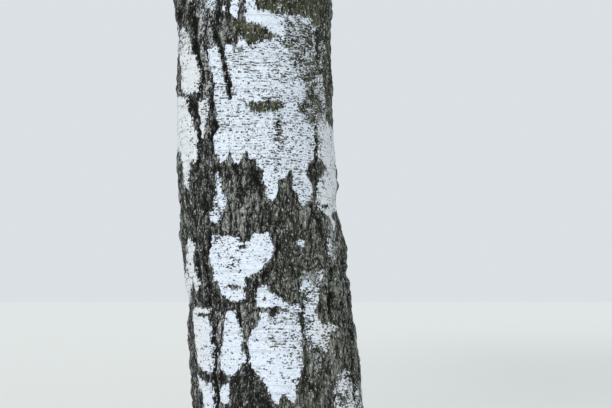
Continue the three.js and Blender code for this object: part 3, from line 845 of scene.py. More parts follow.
        # Painted light: fewer dark specks toward the trunk's right edge, which lightens it as if more light
        # fell there.
        grey -= 0.07 * smooth(*self.lit_clear_side, across)
        crowd = self.crowded * smooth(-16.0, 18.0, depths[Cover.SPECKLE])
        crowd = np.maximum(crowd, self.sparse * smooth(-12.0, 10.0, depths[Cover.SPARSE]))
        speckle[shown] += share * np.clip(grey + crowd, 0.0, 1.0)
        fleck[shown] *= 1.0 - share
        fleck[shown] += share * (0.25 + 0.75 * smooth(-6.0, 10.0, depths[Cover.FLECK]))
        green = 0.45 * smooth(*self.green_side, across)
        filmed = smooth(-14.0, 12.0, depths[Cover.SPECKLE]) * smooth(*self.film_side, across)
        filmed *= smooth(*self.film_top, down)
        green = np.maximum(green, 0.85 * filmed)
        show(moss, np.maximum(green, smooth(-8.0, 2.0, depths[Cover.MOSS])))
        for knot in (knot for knot in KNOTS if knot.healed):
            ring = knot.ring(place)
            arcs = np.cos(2.0 * math.pi * knot.rings * ring) * weight * smooth(2.3, 1.5, ring)
            arcs = self.arc_depth * arcs * smooth(-2.0, 4.0, place[:, 1] - knot.place[1])
            paper += arcs * min(knot.rings, 1.0)
        ridge, relief = self.raised(points, paper, crack)
        for knot in KNOTS:
            ring = knot.ring(place)
            seen = weight if knot.healed else band * smooth(*self.edge_facing, facing)
            held = seen * smooth(1.5, 0.8, ring)
            wave = 0.55 + 0.3 * np.cos(2.0 * math.pi * knot.rings * ring)
            ridge += held * (wave - ridge) * knot.healed
            relief += held * knot.swell * (1.0 - np.minimum(ring, 1.0) ** 2)
        # The scars' brows darken the cork; painted shade lowers its tone under the shade marks, toward the
        # trunk's left and in the cracks, and painted light raises it toward the right.
        ridge = np.clip(ridge - black, 0.0, 1.0) - self.crack_shade * crack
        paper = np.clip(paper, -self.reach, self.reach)
        return BarkFields(paper, speckle, fleck, moss, lenticel, worn, ridge, relief)

    def raised(
        self, points: np.ndarray, paper: np.ndarray, crack: np.ndarray
    ) -> tuple[np.ndarray, np.ndarray]:
        """Raises cork into ridges and plates and lays paper smooth.

        Args:
            points: Places on the smooth trunk in millimetres.
            paper: How deep each point lies in paper.
            crack: The depth of the cracks.

        Returns:
            The ridges, from 0 in a crevice to 1 on a crest, and how far the bark stands out.
        """
        level = np.zeros(len(points))
        bend = np.stack([noise(points, Grain.BEND_X), noise(points, Grain.BEND_Y), level], axis=1)
        bent = points + self.bend_reach * bend
        plates = np.abs(noise(bent, Grain.PLATES)) / 0.4
        scales = np.abs(noise(bent, Grain.SCALES)) / 0.4
        swell = 0.5 + noise(points, Grain.SWELL)
        coarse, fine = np.clip(plates, 0.0, 1.0) ** 0.8, np.clip(scales, 0.0, 1.0) ** 0.8
        ridge = np.clip(0.6 * coarse + 0.5 * fine, 0.0, 1.0)
        cork = smooth(-2.0, 15.0, -paper)
        raised = self.cork_level + self.cork_swell * swell + self.cork_ridge * (ridge - 0.35)
        flat = self.paper_level + 1.3 * noise(points, Grain.PAPER_WAVES)
        flat += 0.5 * noise(points, Grain.PAPER_FOLDS)
        lip = 1.6 * smooth(0.0, 1.5, paper) * smooth(7.0, 1.5, paper)
        relief = cork * raised + (1.0 - cork) * (flat + lip) - crack
        return ridge, relief


@dataclass(frozen=True)
class BirchBark:
    """Outer birch bark: papery white cork with lenticels, and rugged dark cork where it has split.

    Paper is smooth and faintly glossy, with short dark lenticels in level rows. Cork is matt, with black
    crevices between crumbs that have weathered grey, and a green-black film on the damp side. The black of
    the crevices is partly painted shade, and the grey of the crumbs partly painted light.
    Widths and heights are in millimetres.
    """

    name: str = "birch_bark"
    paper_cool: int = 0xC2CEDF
    paper_pale: int = 0xE1EBF8
    # Painted light and wear: a lighter neutral white, mixed in where the paper is worn and on the sunlit
    # sides of the trunk.
    paper_worn_and_sunlit: int = 0xDEE1E4
    paper_line: int = 0x98A0A6
    stain: int = 0x686656
    lenticel: int = 0x4A4636
    # Partly painted shade: the near-black of the cork's seams and cracks.
    crevice: int = 0x151513
    cork_mid: int = 0x3F403D
    # Partly painted light: the grey of the cork's crests.
    cork_top: int = 0x999B97
    fleck: int = 0xCED4DA
    moss_mid: int = 0x373928
    moss_top: int = 0x5F624C
    young: int = 0x6B5648
    paper_roughness: float = 0.62
    cork_roughness: float = 0.93
    row_height: float = 6.2
    row_wander: float = 16.0
    dash_width: float = 9.0
    tone_gain: float = 4.0

    def material(self) -> bpy.types.Material:
        """Builds the material.

        Returns:
            The new material.
        """
        made = bpy.data.materials.new(self.name)
        made.use_nodes = True
        tree = made.node_tree
        tree.nodes.clear()
        place = add_node(tree, "ShaderNodeTexCoord").outputs["Object"]
        axes = add_node(tree, "ShaderNodeSeparateXYZ", Vector=place).outputs
        read = {
            name: add_node(tree, "ShaderNodeAttribute", {"attribute_name": name}).outputs["Fac"]
            for name in BARK_READS
        }

        def grain(
            width: float, height: float, detail: float = 2.0, roughness: float = 0.5, waver: float = 0.0
        ) -> bpy.types.Node:
            """Adds noise with cells of a width and a height in millimetres."""
            scale = (1.0 / (width * MM), 1.0 / (width * MM), 1.0 / (height * MM))
            moved = add_node(tree, "ShaderNodeMapping", Vector=place, Scale=scale)
            return add_node(
                tree, "ShaderNodeTexNoise",
                Vector=moved, Scale=1.0, Detail=detail, Roughness=roughness, Distortion=waver,
            )

        def calc(operation: str, *values) -> bpy.types.Node:
            """Adds arithmetic on one to three values."""
            names = ("Value", "Value_001", "Value_002")
            return add_node(tree, "ShaderNodeMath", {"operation": operation}, **dict(zip(names, values)))

        times, plus, minus = (partial(calc, kind) for kind in ("MULTIPLY", "ADD", "SUBTRACT"))
        scaled = partial(calc, "MULTIPLY_ADD")

        def rise(value, low: float, high: float) -> bpy.types.Node:
            """Adds a smooth rise from 0 at low to 1 at high."""
            return add_node(
                tree, "ShaderNodeMapRange", {"interpolation_type": "SMOOTHSTEP"},
                Value=value, **{"From Min": low, "From Max": high},
            )

        def mix(share, first, second) -> bpy.types.NodeSocket:
            """Adds a mix of two colours, each a socket or a hex colour."""
            ends = [linear(end) if isinstance(end, int) else end for end in (first, second)]
            node = add_node(
                tree, "ShaderNodeMix", {"data_type": "RGBA"},
                Factor_Float=share, A_Color=ends[0], B_Color=ends[1],
            )
            return next(output for output in node.outputs if output.enabled)

        # Paper ends in a ragged rim, and breaks up into crumbs where it is speckled.
        ragged = scaled(grain(5.6, 12.0, 3.0), 15.0, times(grain(3.0, 4.6), 9.0))
        depth = plus(read["paper"], minus(ragged, 12.2))
        crumbs = scaled(grain(6.6, 3.5, 2.0, 0.6), 0.65, times(grain(15.0, 9.0), 0.35))
        holes = minus(crumbs, scaled(read["speckle"], 0.3, 0.33))
        white = rise(calc("MINIMUM", depth, times(holes, 36.0)), -0.7, 0.9)

        # Paper is clouded and faintly streaked, with lenticels in rows, pits and stains.
        streak = grain(120.0, 3.4, 3.0, 0.6)
        haze = grain(6.0, 3.2, 3.0, 0.75)
        paper = mix(rise(haze, 0.3, 0.6), self.paper_cool, self.paper_pale)
        # Partly painted light: the paper turns a lighter neutral white where this field is high, which on the
        # trunk's sides stands for sunlight.
        paper = mix(times(read["worn"], 0.85), paper, self.paper_worn_and_sunlit)
        paper = mix(times(rise(streak, 0.5, 0.68), 0.5), paper, self.paper_line)
        wander = times(grain(45.0, 45.0), self.row_wander * MM)
        level = calc("DIVIDE", plus(axes["Z"], wander), self.row_height * MM)
        inverse = 1.0 / (self.dash_width * MM)
        row = add_node(
            tree, "ShaderNodeCombineXYZ",
            X=times(axes["X"], inverse),
            Y=times(axes["Y"], inverse),
            Z=times(calc("FLOOR", level), 7.31),
        )
        dash = add_node(tree, "ShaderNodeTexNoise", Vector=row, Scale=1.0, Detail=2.0)
        part = scaled(minus(haze, 0.5), 0.6, calc("FRACT", level))
        slot = times(rise(part, 0.05, 0.2), minus(1.0, rise(part, 0.56, 0.78)))
        crowd = scaled(grain(34.0, 22.0, 1.0), 0.34, times(read["lenticel"], 0.16))
        dashes = times(rise(plus(dash, crowd), 0.785, 0.865), slot)
        faded = scaled(rise(grain(9.0, 7.0, 1.0), 0.42, 0.56), 0.75, 0.22)
        dashes = times(dashes, faded)
        pits = plus(grain(3.4, 3.0, 1.0), times(read["lenticel"], 0.09))
        stains = plus(grain(19.0, 9.0, 3.0, 0.65), times(read["lenticel"], 0.12))
        paper = mix(times(rise(stains, 0.7, 0.76), 0.8), paper, self.stain)
        paper = mix(times(rise(pits, 0.66, 0.75), 0.72), paper, self.lenticel)
        paper = mix(dashes, paper, self.lenticel)
        paper = mix(times(rise(read["moss"], 0.45, 0.95), 0.34), paper, self.moss_top)

        # Cork is painted light on its crests and painted shade in its seams, over its own grey and
        # near-black, with flecks of old paper.
        film = rise(read["moss"], 0.8, 1.0)
        fibre, crumb = grain(3.0, 13.0, 3.0, 0.65), grain(3.2, 3.6, 2.0)
        fine = scaled(minus(fibre, crumb), scaled(film, -0.4, 0.55), crumb)
        fine = minus(fine, 0.5)
        gain = scaled(read["moss"], -0.35 * self.tone_gain, self.tone_gain)
        tone = scaled(fine, gain, scaled(read["ridge"], 1.15, -0.08))
        seam = calc("ABSOLUTE", minus(grain(13.0, 50.0, 2.0, 0.55, 0.6), 0.5))
        seam = scaled(film, 0.014, seam)
        closed = rise(scaled(read["fleck"], 0.022, seam), 0.008, 0.047)
        tone = times(tone, scaled(closed, 0.85, 0.15))
        mid = mix(read["moss"], self.cork_mid, self.moss_mid)
        top = mix(read["moss"], self.cork_top, self.moss_top)
        cork = mix(rise(tone, 0.0, 0.4), self.crevice, mid)
        cork = mix(rise(tone, 0.4, 1.15), cork, top)
        chip = plus(grain(4.2, 6.5, 3.0, 0.6), times(read["fleck"], 0.13))
        chips = times(rise(chip, 0.59, 0.71), rise(tone, 0.05, 0.45))
        cork = mix(times(chips, 0.74), cork, self.fleck)
        colour = mix(white, cork, paper)
        colour = mix(times(read["young"], 0.85), colour, self.young)

        # What is too fine for the mesh.
        rough = add_node(
            tree, "ShaderNodeMapRange",
            Value=white, **{"To Min": self.cork_roughness, "To Max": self.paper_roughness},
        )
        cork_height = scaled(fine, 5.0, times(closed, 2.6))
        paper_height = scaled(streak, 0.6, scaled(haze, 0.5, dashes))
        height = add_node(
            tree, "ShaderNodeMix", {"data_type": "FLOAT"},
            Factor_Float=white, A_Float=cork_height, B_Float=paper_height,
        )
        bump = add_node(tree, "ShaderNodeBump", Height=height, Distance=MM, Strength=1.0)
        surface = add_node(
            tree, "ShaderNodeBsdfPrincipled",
            **{"Base Color": colour, "Roughness": rough, "Normal": bump, "Specular IOR Level": 0.2},
        )
        add_node(tree, "ShaderNodeOutputMaterial", Surface=surface)
        return made


@dataclass(frozen=True)
class Section:
    """One stretch of the trunk that is one mesh."""

    name: str
    low: float
    high: float
    columns: int
    rows: int
    front_share: float = 0.5


@dataclass
class Trunk:
    """The trunk, as stretches of bark that meet end to end.

    The bends are the slow shifts along X that the photograph shows beside the trunk's mean line, one for
    each step of height from bends_from.
    """

    form: TrunkForm
    bark: Bark
    bends_from: float = 250.0
    bend_step: float = 250.0
    bend_parts: int = 8
    thin_from_tip: float = 9000.0
    tip_relief: float = 0.2
    bends: tuple[float, ...] = (0.0, 6.0, 13.0, 16.0, 10.0, -1.0, 3.0, 15.0, 15.0, 10.0, 5.0, 2.0, 0.0, 0.0)
    sections: tuple[Section, ...] = (
        Section("trunk_foot", 0.0, 930.0, 190, 104),
        Section("trunk_waist", 930.0, 2110.0, 270, 345, 0.8),
        Section("trunk_bole", 2110.0, 6200.0, 160, 540),
        Section("trunk_crown", 6200.0, 16900.0, 96, 880),
    )

    def angles(self, section: Section) -> np.ndarray:
        """Spreads a section's columns round the trunk, closer together on the face that shows first."""
        spread = np.linspace(0.0, 1.0, section.columns, endpoint=False)
        share = np.interp(spread, [0.0, section.front_share, 1.0], [0.0, 0.5, 1.0])
        return math.pi + 2.0 * math.pi * share

    def bend(self, height: np.ndarray) -> np.ndarray:
        """Gives the shift along X at each height."""
        shifts = eased(np.array(self.bends), self.bend_parts)
        places = self.bends_from + np.arange(len(shifts)) * self.bend_step / self.bend_parts
        return np.interp(height, places, shifts)

    def shape(self, section: Section) -> tuple[np.ndarray, np.ndarray, BarkFields]:
        """Works out the places of a section's points, its faces, and its bark."""
        turns = self.angles(section)
        levels = np.linspace(section.low, section.high, section.rows + 1)
        angle, height = np.tile(turns, len(levels)), np.repeat(levels, section.columns)
        outward = np.stack([np.cos(angle), np.sin(angle), np.zeros(len(angle))], axis=1)
        points = self.form.centre(height) + outward * self.form.radius(height, angle)[:, None]
        points[:, 0] += self.bend(height)
        bark = self.bark.fields(points, outward, angle)
        fade = smooth(self.form.tip_height, self.form.tip_height - self.thin_from_tip, height)
        fade = fade * (1.0 - self.tip_relief) + self.tip_relief
        points = points + outward * (bark.relief * fade)[:, None]
        column = np.arange(section.columns)
        beside = (column + 1) % section.columns
        low = np.arange(section.rows)[:, None] * section.columns
        high = low + section.columns
        faces = np.stack([low + column, low + beside, high + beside, high + column], axis=-1).reshape(-1, 4)
        return points, faces, bark

    def build(self, material: bpy.types.Material) -> None:
        """Makes every section as a closed mesh.

        Args:
            material: The bark.
        """
        for section in self.sections:
            points, faces, bark = self.shape(section)
            lids, centres = [], []
            for row, turned in ((0, True), (section.rows, False)):
                ring = row * section.columns + np.arange(section.columns)
                hub = np.full(section.columns, len(points) + len(centres))
                ends = (np.roll(ring, -1), ring) if turned else (ring, np.roll(ring, -1))
                lids.append(np.stack([*ends, hub, hub], axis=1))
                centres.append(points[ring].mean(axis=0))
            fields = {
                name: np.concatenate([values, values[:2]]) for name, values in bark.attributes().items()
            }
            piece = mesh_object(
                section.name, np.concatenate([points, centres]), np.concatenate([faces, *lids]),
                flat_from=len(faces), **fields,
            )
            finish_piece(piece, ["trunk"], material)


def headed(heading: np.ndarray | float, rise: np.ndarray | float) -> np.ndarray:
    """Gives the direction with a heading round the trunk and a rise above the horizontal."""
    flat = np.cos(rise)
    return np.stack([np.cos(heading) * flat, np.sin(heading) * flat, np.sin(rise) + 0.0 * flat], axis=-1)


def blend(ends: tuple[float, float], share: float) -> float:
    """Gives the number at a share of the way between two."""
    return ends[0] + (ends[1] - ends[0]) * share


def along(values: np.ndarray, share: float) -> np.ndarray:
    """Gives the value at a share of the way along evenly spaced ones."""
    place = share * (len(values) - 1)
    step = min(math.floor(place), len(values) - 2)
    return values[step] + (values[step + 1] - values[step]) * (place - step)


def eased(values: np.ndarray, parts: int) -> np.ndarray:
    """Draws a smooth curve through evenly spaced values, with so many parts between two of them."""
    padded = np.concatenate([[2 * values[0] - values[1]], values, [2 * values[-1] - values[-2]]])
    share = (np.arange(parts) / parts).reshape(-1, *[1] * (values.ndim - 1))
    spans = []
    for before, start, end, after in zip(padded, padded[1:], padded[2:], padded[3:]):
        bend = 2 * before - 5 * start + 4 * end - after
        turn = 3 * (start - end) + after - before
        spans.append(start + 0.5 * share * (end - before + share * (bend + share * turn)))
    return np.concatenate([*spans, values[-1:]])


def tubes(lines: np.ndarray, radii: np.ndarray, sides: int) -> tuple[np.ndarray, np.ndarray]:
    """Wraps closed tubes round lines of as many points each.

    Args:
        lines: The points, one line of them for each tube.
        radii: The radius at each point.
        sides: The sides of a tube.

    Returns:
        The points of all rings, tube by tube, and the faces.
    """
    count, steps = radii.shape
    tangents = unit(np.gradient(lines, axis=1))
    steep = np.abs(tangents[:, 0, 2:]) > 0.99
    across = np.cross(tangents[:, 0], np.where(steep, np.array([1.0, 0.0, 0.0]), UP))
    turn = 2.0 * math.pi * np.arange(sides) / sides
    rings = np.empty((count, steps, sides, 3))
    for step in range(steps):
        tangent = tangents[:, step]
        across = unit(across - np.sum(across * tangent, axis=1, keepdims=True) * tangent)
        beyond = np.cross(tangent, across)
        spoke = across[:, None] * np.cos(turn)[:, None] + beyond[:, None] * np.sin(turn)[:, None]
        rings[:, step] = lines[:, step, None] + radii[:, step, None, None] * spoke
    side = np.arange(sides)
    beside = (side + 1) % sides
    start = np.arange(steps - 1)[:, None] * sides
    walls = np.stack([start + side, start + beside, start + beside + sides, start + side + sides], axis=-1)
    fan, last = np.arange(1, sides - 1), (steps - 1) * sides
    root_cap = np.stack([0 * fan, fan + 1, fan, fan], axis=-1)
    tip_cap = np.stack([last + 0 * fan, last + fan, last + fan + 1, last + fan + 1], axis=-1)
    faces = np.concatenate([walls.reshape(-1, 4), root_cap, tip_cap])
    shifted = np.arange(count)[:, None, None] * (steps * sides) + faces
    return rings.reshape(-1, 3), shifted.reshape(-1, 4)


def joined(parts: list[tuple[np.ndarray, np.ndarray]]) -> tuple[np.ndarray, np.ndarray]:
    """Joins meshes, each given as its points and its faces, into one."""
    starts = np.cumsum([0, *(len(points) for points, _ in parts)])
    faces = [faces + start for (_, faces), start in zip(parts, starts)]
    return np.concatenate([points for points, _ in parts]), np.concatenate(faces)


@dataclass
class Line:
    """A limb, stem or branch as a line of points with a radius at each."""

    points: np.ndarray
    radii: np.ndarray
    rising: bool = False
    twig_share: float = 1.0

    def aim(self, share: float, reach: float) -> tuple[float, float]:
        """Gives the heading and the rise of the line at a share of the way along it."""
        way = along(self.points, share + reach) - along(self.points, share - reach)
        return math.atan2(way[1], way[0]), math.asin(way[2] / float(np.linalg.norm(way)))

    def length(self) -> float:
        """Measures straight from the first point to the last."""
        return float(np.linalg.norm(self.points[-1] - self.points[0]))


def clearance(points: np.ndarray, lines: list[Line]) -> np.ndarray:
    """Measures how far each point is from the surface of the nearest of some lines."""
    least = np.full(len(points), np.inf)
    for line in lines:
        thickest = np.maximum(line.radii, np.roll(line.radii, -1))
        for start, end, radius in zip(line.points, line.points[1:], thickest):
            way = end - start
            share = np.clip(((points - start) @ way) / float(way @ way), 0.0, 1.0)
            away = np.linalg.norm(points - start - share[:, None] * way, axis=1) - radius
            least = np.minimum(least, away)
    return least


@dataclass(frozen=True)
class LimbRule:
    """How limbs leave the trunk, as in the part's source."""

    count: int = 25
    heights: tuple[float, float] = (6000.0, 16050.0)
    height_power: float = 0.94
    height_jitter: float = 200.0
    turn_jitter: float = math.radians(22)
    longest: float = 4350.0
    length_jitter: float = 0.18
    rise: tuple[float, float] = (math.radians(34), math.radians(62))
    rise_jitter: float = math.radians(22)
    tip_rise: tuple[float, float] = (math.radians(-38), math.radians(26))
    tip_jitter: float = math.radians(36)
    bend_power: float = 1.5
    curl: float = 0.6
    root_radius: float = 52.0
    root_share: float = 0.5
    tip_radius: float = 12.0
    sunk_to: float = 0.4
    collar: float = 1.45
    collar_length: float = 130.0
    steps: int = 12
    bare_steps: int = 4
    stem_steps: int = 5

    def share(self, index: int) -> float:
        """Gives a limb's share of the way up the crown."""
        return index / (self.count - 1)

    def length(self, share: float) -> float:
        """Gives a limb's length before its jitter: an egg-shaped crown, blunt below."""
        return self.longest * ((0.62 + 1.9 * share) * (1.0 - share) ** 1.1 + 0.28 * share)

    def limb(self, index: int, form: TrunkForm) -> tuple[Line, float]:
        """Grows one limb from the trunk's centre to its tip.

        Args:
            index: The limb's place, from the lowest.
            form: The trunk.

        Returns:
            The limb and its length.
        """
        numbers, share = Numbers(index), self.share(index)
        height = blend(self.heights, share**self.height_power) + numbers.jitter(self.height_jitter)
        heading = index * GOLDEN_TURN + numbers.jitter(self.turn_jitter)
        length = self.length(share) * (1.0 + numbers.jitter(self.length_jitter))
        curl = numbers.jitter(self.curl)
        rise = blend(self.rise, share) + numbers.jitter(self.rise_jitter)
        tip_rise = blend(self.tip_rise, share) + numbers.jitter(self.tip_jitter)
        thickest = self.root_share * form.thickness(height)
        root = min(thickest, self.root_radius * length / self.longest)
        part = np.arange(self.steps + 1) / self.steps
        ways = headed(heading + curl * part, rise + (tip_rise - rise) * part**self.bend_power)
        reach = np.concatenate([np.zeros((1, 3)), np.cumsum(ways[:-1] * length / self.steps, axis=0)])
        points = form.centre(np.array(height)) + reach
        return Line(points, root + (self.tip_radius - root) * part), length

    def stem(self, limb: Line) -> Line:
        """Takes the part of a limb that its foliage hangs from."""
        shares = [
            blend((self.bare_steps / self.steps, 1.0), step / self.stem_steps)
            for step in range(self.stem_steps + 1)
        ]
        points = np.array([along(limb.points, share) for share in shares])
        return Line(points, np.array([along(limb.radii, share) for share in shares]))


@dataclass(frozen=True)
class BranchRule:
    """How side branches leave the stem of a mass, as in the part's source."""

    spread: float = math.radians(58)
    spread_jitter: float = math.radians(24)
    share: float = 0.4
    taper_off: float = 0.6
    length_jitter: float = 0.24
    lift: float = math.radians(16)
    lift_jitter: float = math.radians(56)
    drop: float = math.radians(44)
    rising_places: tuple[float, ...] = (0.36, 0.76)
    rising_lift: float = math.radians(52)
    rising_turn: float = math.radians(50)
    rising_share: float = 0.62
    root_share: float = 0.62
    tip_radius: float = 9.0
    steps: int = 2
    aim_reach: float = 0.05
    tested_at: tuple[float, ...] = (0.3, 0.5, 0.75, 1.0)
    clear_of_limb: float = 60.0
    leader_length: float = 1750.0
    leader_branches: int = 9
    leader_branch: float = 1000.0
    leader_taper: float = 0.62
    leader_rise: float = math.radians(52)
    leader_drop: float = math.radians(16)

    def branch(self, stem: Line, share: float, aim: tuple[float, float], length: float, drop: float) -> Line:
        """Grows one side branch.

        Args:
            stem: What it grows from.
            share: Where on the stem.
            aim: The heading and the rise that it leaves with.
            length: Its length.
            drop: How much of its rise it loses on the way.

        Returns:
            The branch.
        """
        points = [along(stem.points, share)]
        for step in range(self.steps):
            way = headed(aim[0], aim[1] - drop * ((step + 0.5) / self.steps))
            points.append(points[-1] + way * length / self.steps)
        root = self.root_share * float(along(stem.radii, share))
        part = np.arange(self.steps + 1) / self.steps
        return Line(np.array(points), root + (min(root, self.tip_radius) - root) * part)

    def on_stem(self, stem: Line, limb_length: float, steps: int, numbers: Numbers) -> list[Line]:
        """Grows the branches of a limb's stem: left and right in turn, and two that rise."""
        longest = [limb_length * self.share, -limb_length * self.share * self.taper_off]
        made = []
        for place in range(steps):
            share = (place + 0.5) / steps
            heading, rise = stem.aim(share, self.aim_reach)
            hand = 1 if place % 2 == 0 else -1
            turn = hand * (self.spread + numbers.jitter(self.spread_jitter))
            length = (longest[0] + longest[1] * share) * (1.0 + numbers.jitter(self.length_jitter))
            lift = self.lift + numbers.jitter(self.lift_jitter)
            made.append(self.branch(stem, share, (heading + turn, rise * 0.5 + lift), length, self.drop))
        for share in self.rising_places:
            heading, rise = stem.aim(share, self.aim_reach)
            turn = numbers.jitter(self.rising_turn)
            length = (longest[0] + longest[1] * share) * self.rising_share
            aim = (heading + turn, rise * 0.5 + self.rising_lift)
            made.append(self.branch(stem, share, aim, length, self.drop / 2.0))
            made[-1].rising = True
        return made

    def on_leader(self, stem: Line, turn_jitter: float, numbers: Numbers) -> list[Line]:
        """Grows the branches of the leader, in turn round it."""
        made = []
        for place in range(self.leader_branches):
            share = (place + 0.5) / self.leader_branches
            heading = place * GOLDEN_TURN + numbers.jitter(turn_jitter)
            length = self.leader_branch * (1.0 - self.leader_taper * share)
            made.append(self.branch(stem, share, (heading, self.leader_rise), length, self.leader_drop))
        return made


@dataclass(frozen=True)
class TwigRule:
    """How twigs hang from the branches: the source's rule for sprays, with many more places."""

    spacing: float = 70.0
    last_place: float = 0.98
    place_span: float = 0.9
    longest: float = 1340.0
    top_share: float = 0.7
    length_jitter: float = 0.8
    outward: tuple[float, float] = (0.6, 2.4)
    swing: float = 0.8
    rising_hang: float = -0.5
    rising_length: float = 0.8
    upright_every: int = 3
    upright_hang: float = -0.6
    upright_length: float = 0.46
    width_share: float = 0.3
    widest_at: float = 0.38
    tries: int = 7
    shortening: float = 0.92
    mean_length: float = 0.92
    clear_of_limb: float = 30.0
    steps: int = 7
    radius: float = 3.4
    sides: int = 3
    shoot_spacing: float = 92.0
    shoot_radius: float = 1.7
    shoot_angle: float = math.radians(42)
    inner_length: float = 0.58
    leader_drop: float = 500.0
    tested_at: tuple[float, ...] = (0.4, 0.7, 1.0)
    bow: float = 0.22
    droop: float = 0.16
    crook: float = 14.0
    tip_share: float = 0.35
    shoot_tip_share: float = 0.5
    shoot_turn: float = 1.1
    shoot_drop: float = 0.25
    leaf_spacing: float = 28.5
    leaf_sizes: tuple[float, float] = (44.0, 64.0)
    leafy_from: int = 2
    leafy_length: float = 420.0
    blade_along: float = 0.45
    blade_drop: float = 0.75
    face_up: float = 0.75
    face_outward: float = 0.5
    leaf_scatter: float = 1.5


@dataclass
class Mass:
    """One mass of foliage: its name, its share of the way up, its stem and its branches."""

    name: str
    share: float
    stem: Line
    branches: list[Line]


@dataclass
class LeafCloud:
    """The places, turns, sizes and tones of leaves."""

    points: list[np.ndarray] = field(default_factory=list)
    turns: list[np.ndarray] = field(default_factory=list)
    sizes: list[np.ndarray] = field(default_factory=list)
    tones: list[np.ndarray] = field(default_factory=list)


class Tone(Enum):
    """The greens of the young leaves, one for each kind of spray."""

    FRESH = 0x8FB540
    BRIGHT = 0xA3C653
    DEEP = 0x6F9433
    SHADE = 0x5D8030


@dataclass
class Leaves:
    """The leaves of the crown, thin and faintly glossy, dealt out on points by Geometry Nodes."""

    roughness: float = 0.52
    outline: Outline = ((0.0, 0.0), (0.36, 0.4), (0.0, 1.0), (-0.36, 0.4))
    midrib: tuple[float, float, float] = (0.0, 0.46, -0.07)

    def blade(self) -> bpy.types.Object:
        """Makes one leaf of unit length, folded along its midrib."""
        corners = [*((*corner, 0.0) for corner in self.outline), self.midrib]
        mesh = bpy.data.meshes.new("leaf_blade")
        mesh.from_pydata(corners, [], [(0, 1, 4), (1, 2, 4), (2, 3, 4), (3, 0, 4)])
        return bpy.data.objects.new("leaf_blade", mesh)

    def scatter(self, blade: bpy.types.Object) -> tuple[bpy.types.NodeTree, str]:
        """Builds the tree that puts a leaf on each point.

        Args:
            blade: One leaf; not used.

        Returns:
            The tree, and the identifier of its input for the leaf.
        """
        tree = bpy.data.node_groups.new("leaf_scatter", "GeometryNodeTree")
        tree.interface.new_socket("Geometry", in_out="INPUT", socket_type="NodeSocketGeometry")
        leaf_input = tree.interface.new_socket("Leaf", in_out="INPUT", socket_type="NodeSocketObject")
        size_input = tree.interface.new_socket("Leaf size", in_out="INPUT", socket_type="NodeSocketFloat")
        size_input.default_value = 1.0
        tree.interface.new_socket("Geometry", in_out="OUTPUT", socket_type="NodeSocketGeometry")
        source = tree.nodes.new("NodeGroupInput")
        inputs = {socket.identifier: socket for socket in source.outputs}
        leaf = add_node(tree, "GeometryNodeObjectInfo", Object=inputs[leaf_input.identifier])
        turn = add_node(tree, "GeometryNodeInputNamedAttribute", {"data_type": "FLOAT_VECTOR"}, Name="turn")
        rotation = add_node(tree, "FunctionNodeEulerToRotation", Euler=turn)
        size = add_node(tree, "GeometryNodeInputNamedAttribute", {"data_type": "FLOAT"}, Name="size")
        scale = add_node(
            tree, "ShaderNodeMath", {"operation": "MULTIPLY"},
            Value=size, Value_001=inputs[size_input.identifier],
        )
        placed = add_node(
            tree, "GeometryNodeInstanceOnPoints", Points=source.outputs[0],
            Instance=leaf.outputs["Geometry"], Rotation=rotation, Scale=scale,
        )
        made = add_node(tree, "GeometryNodeRealizeInstances", Geometry=placed)
        tone_of = add_node(tree, "GeometryNodeInputNamedAttribute", {"data_type": "INT"}, Name="tone")
        for number, tone in enumerate(Tone):
            chosen = add_node(
                tree, "FunctionNodeCompare", {"data_type": "INT", "operation": "EQUAL"},
                A_INT=tone_of, B_INT=number,
            )
            finish = PlainFinish(f"birch_leaf_{tone.name.lower()}", tone.value, self.roughness)
            made = add_node(
                tree, "GeometryNodeSetMaterial", Geometry=made, Selection=chosen, Material=finish.material()
            )
        sink = tree.nodes.new("NodeGroupOutput")
        tree.links.new(made.outputs[0], sink.inputs[0])
        return tree, leaf_input.identifier

    def grow(
        self, name: str, cloud: LeafCloud, tree: bpy.types.NodeTree, key: str, blade: bpy.types.Object
    ) -> bpy.types.Object:
        """Makes the leaves of one mass.

        Args:
            name: The piece's name.
            cloud: Where the leaves are.
            tree: The scatter tree.
            key: The identifier of the tree's input for the leaf.
            blade: One leaf.

        Returns:
            The leaves as one plain mesh object.
        """
        points = np.concatenate(cloud.points) * MM
        mesh = bpy.data.meshes.new(name)
        mesh.vertices.add(len(points))
        mesh.vertices.foreach_set("co", points.astype(np.float32).ravel())
        for label, kind, part, values in (
            ("turn", "FLOAT_VECTOR", "vector", np.concatenate(cloud.turns).astype(np.float32)),
            ("size", "FLOAT", "value", (np.concatenate(cloud.sizes) * MM).astype(np.float32)),
            ("tone", "INT", "value", np.concatenate(cloud.tones).astype(np.int32)),
        ):
            mesh.attributes.new(label, kind, "POINT").data.foreach_set(part, values.ravel())
        holder = placed_object(name, mesh)
        modifier = holder.modifiers.new("leaf_scatter", "NODES")
        modifier.node_group = tree
        modifier[key] = blade
        depsgraph = bpy.context.evaluated_depsgraph_get()
        holder.data = bpy.data.meshes.new_from_object(holder.evaluated_get(depsgraph))
        holder.modifiers.clear()
        return holder


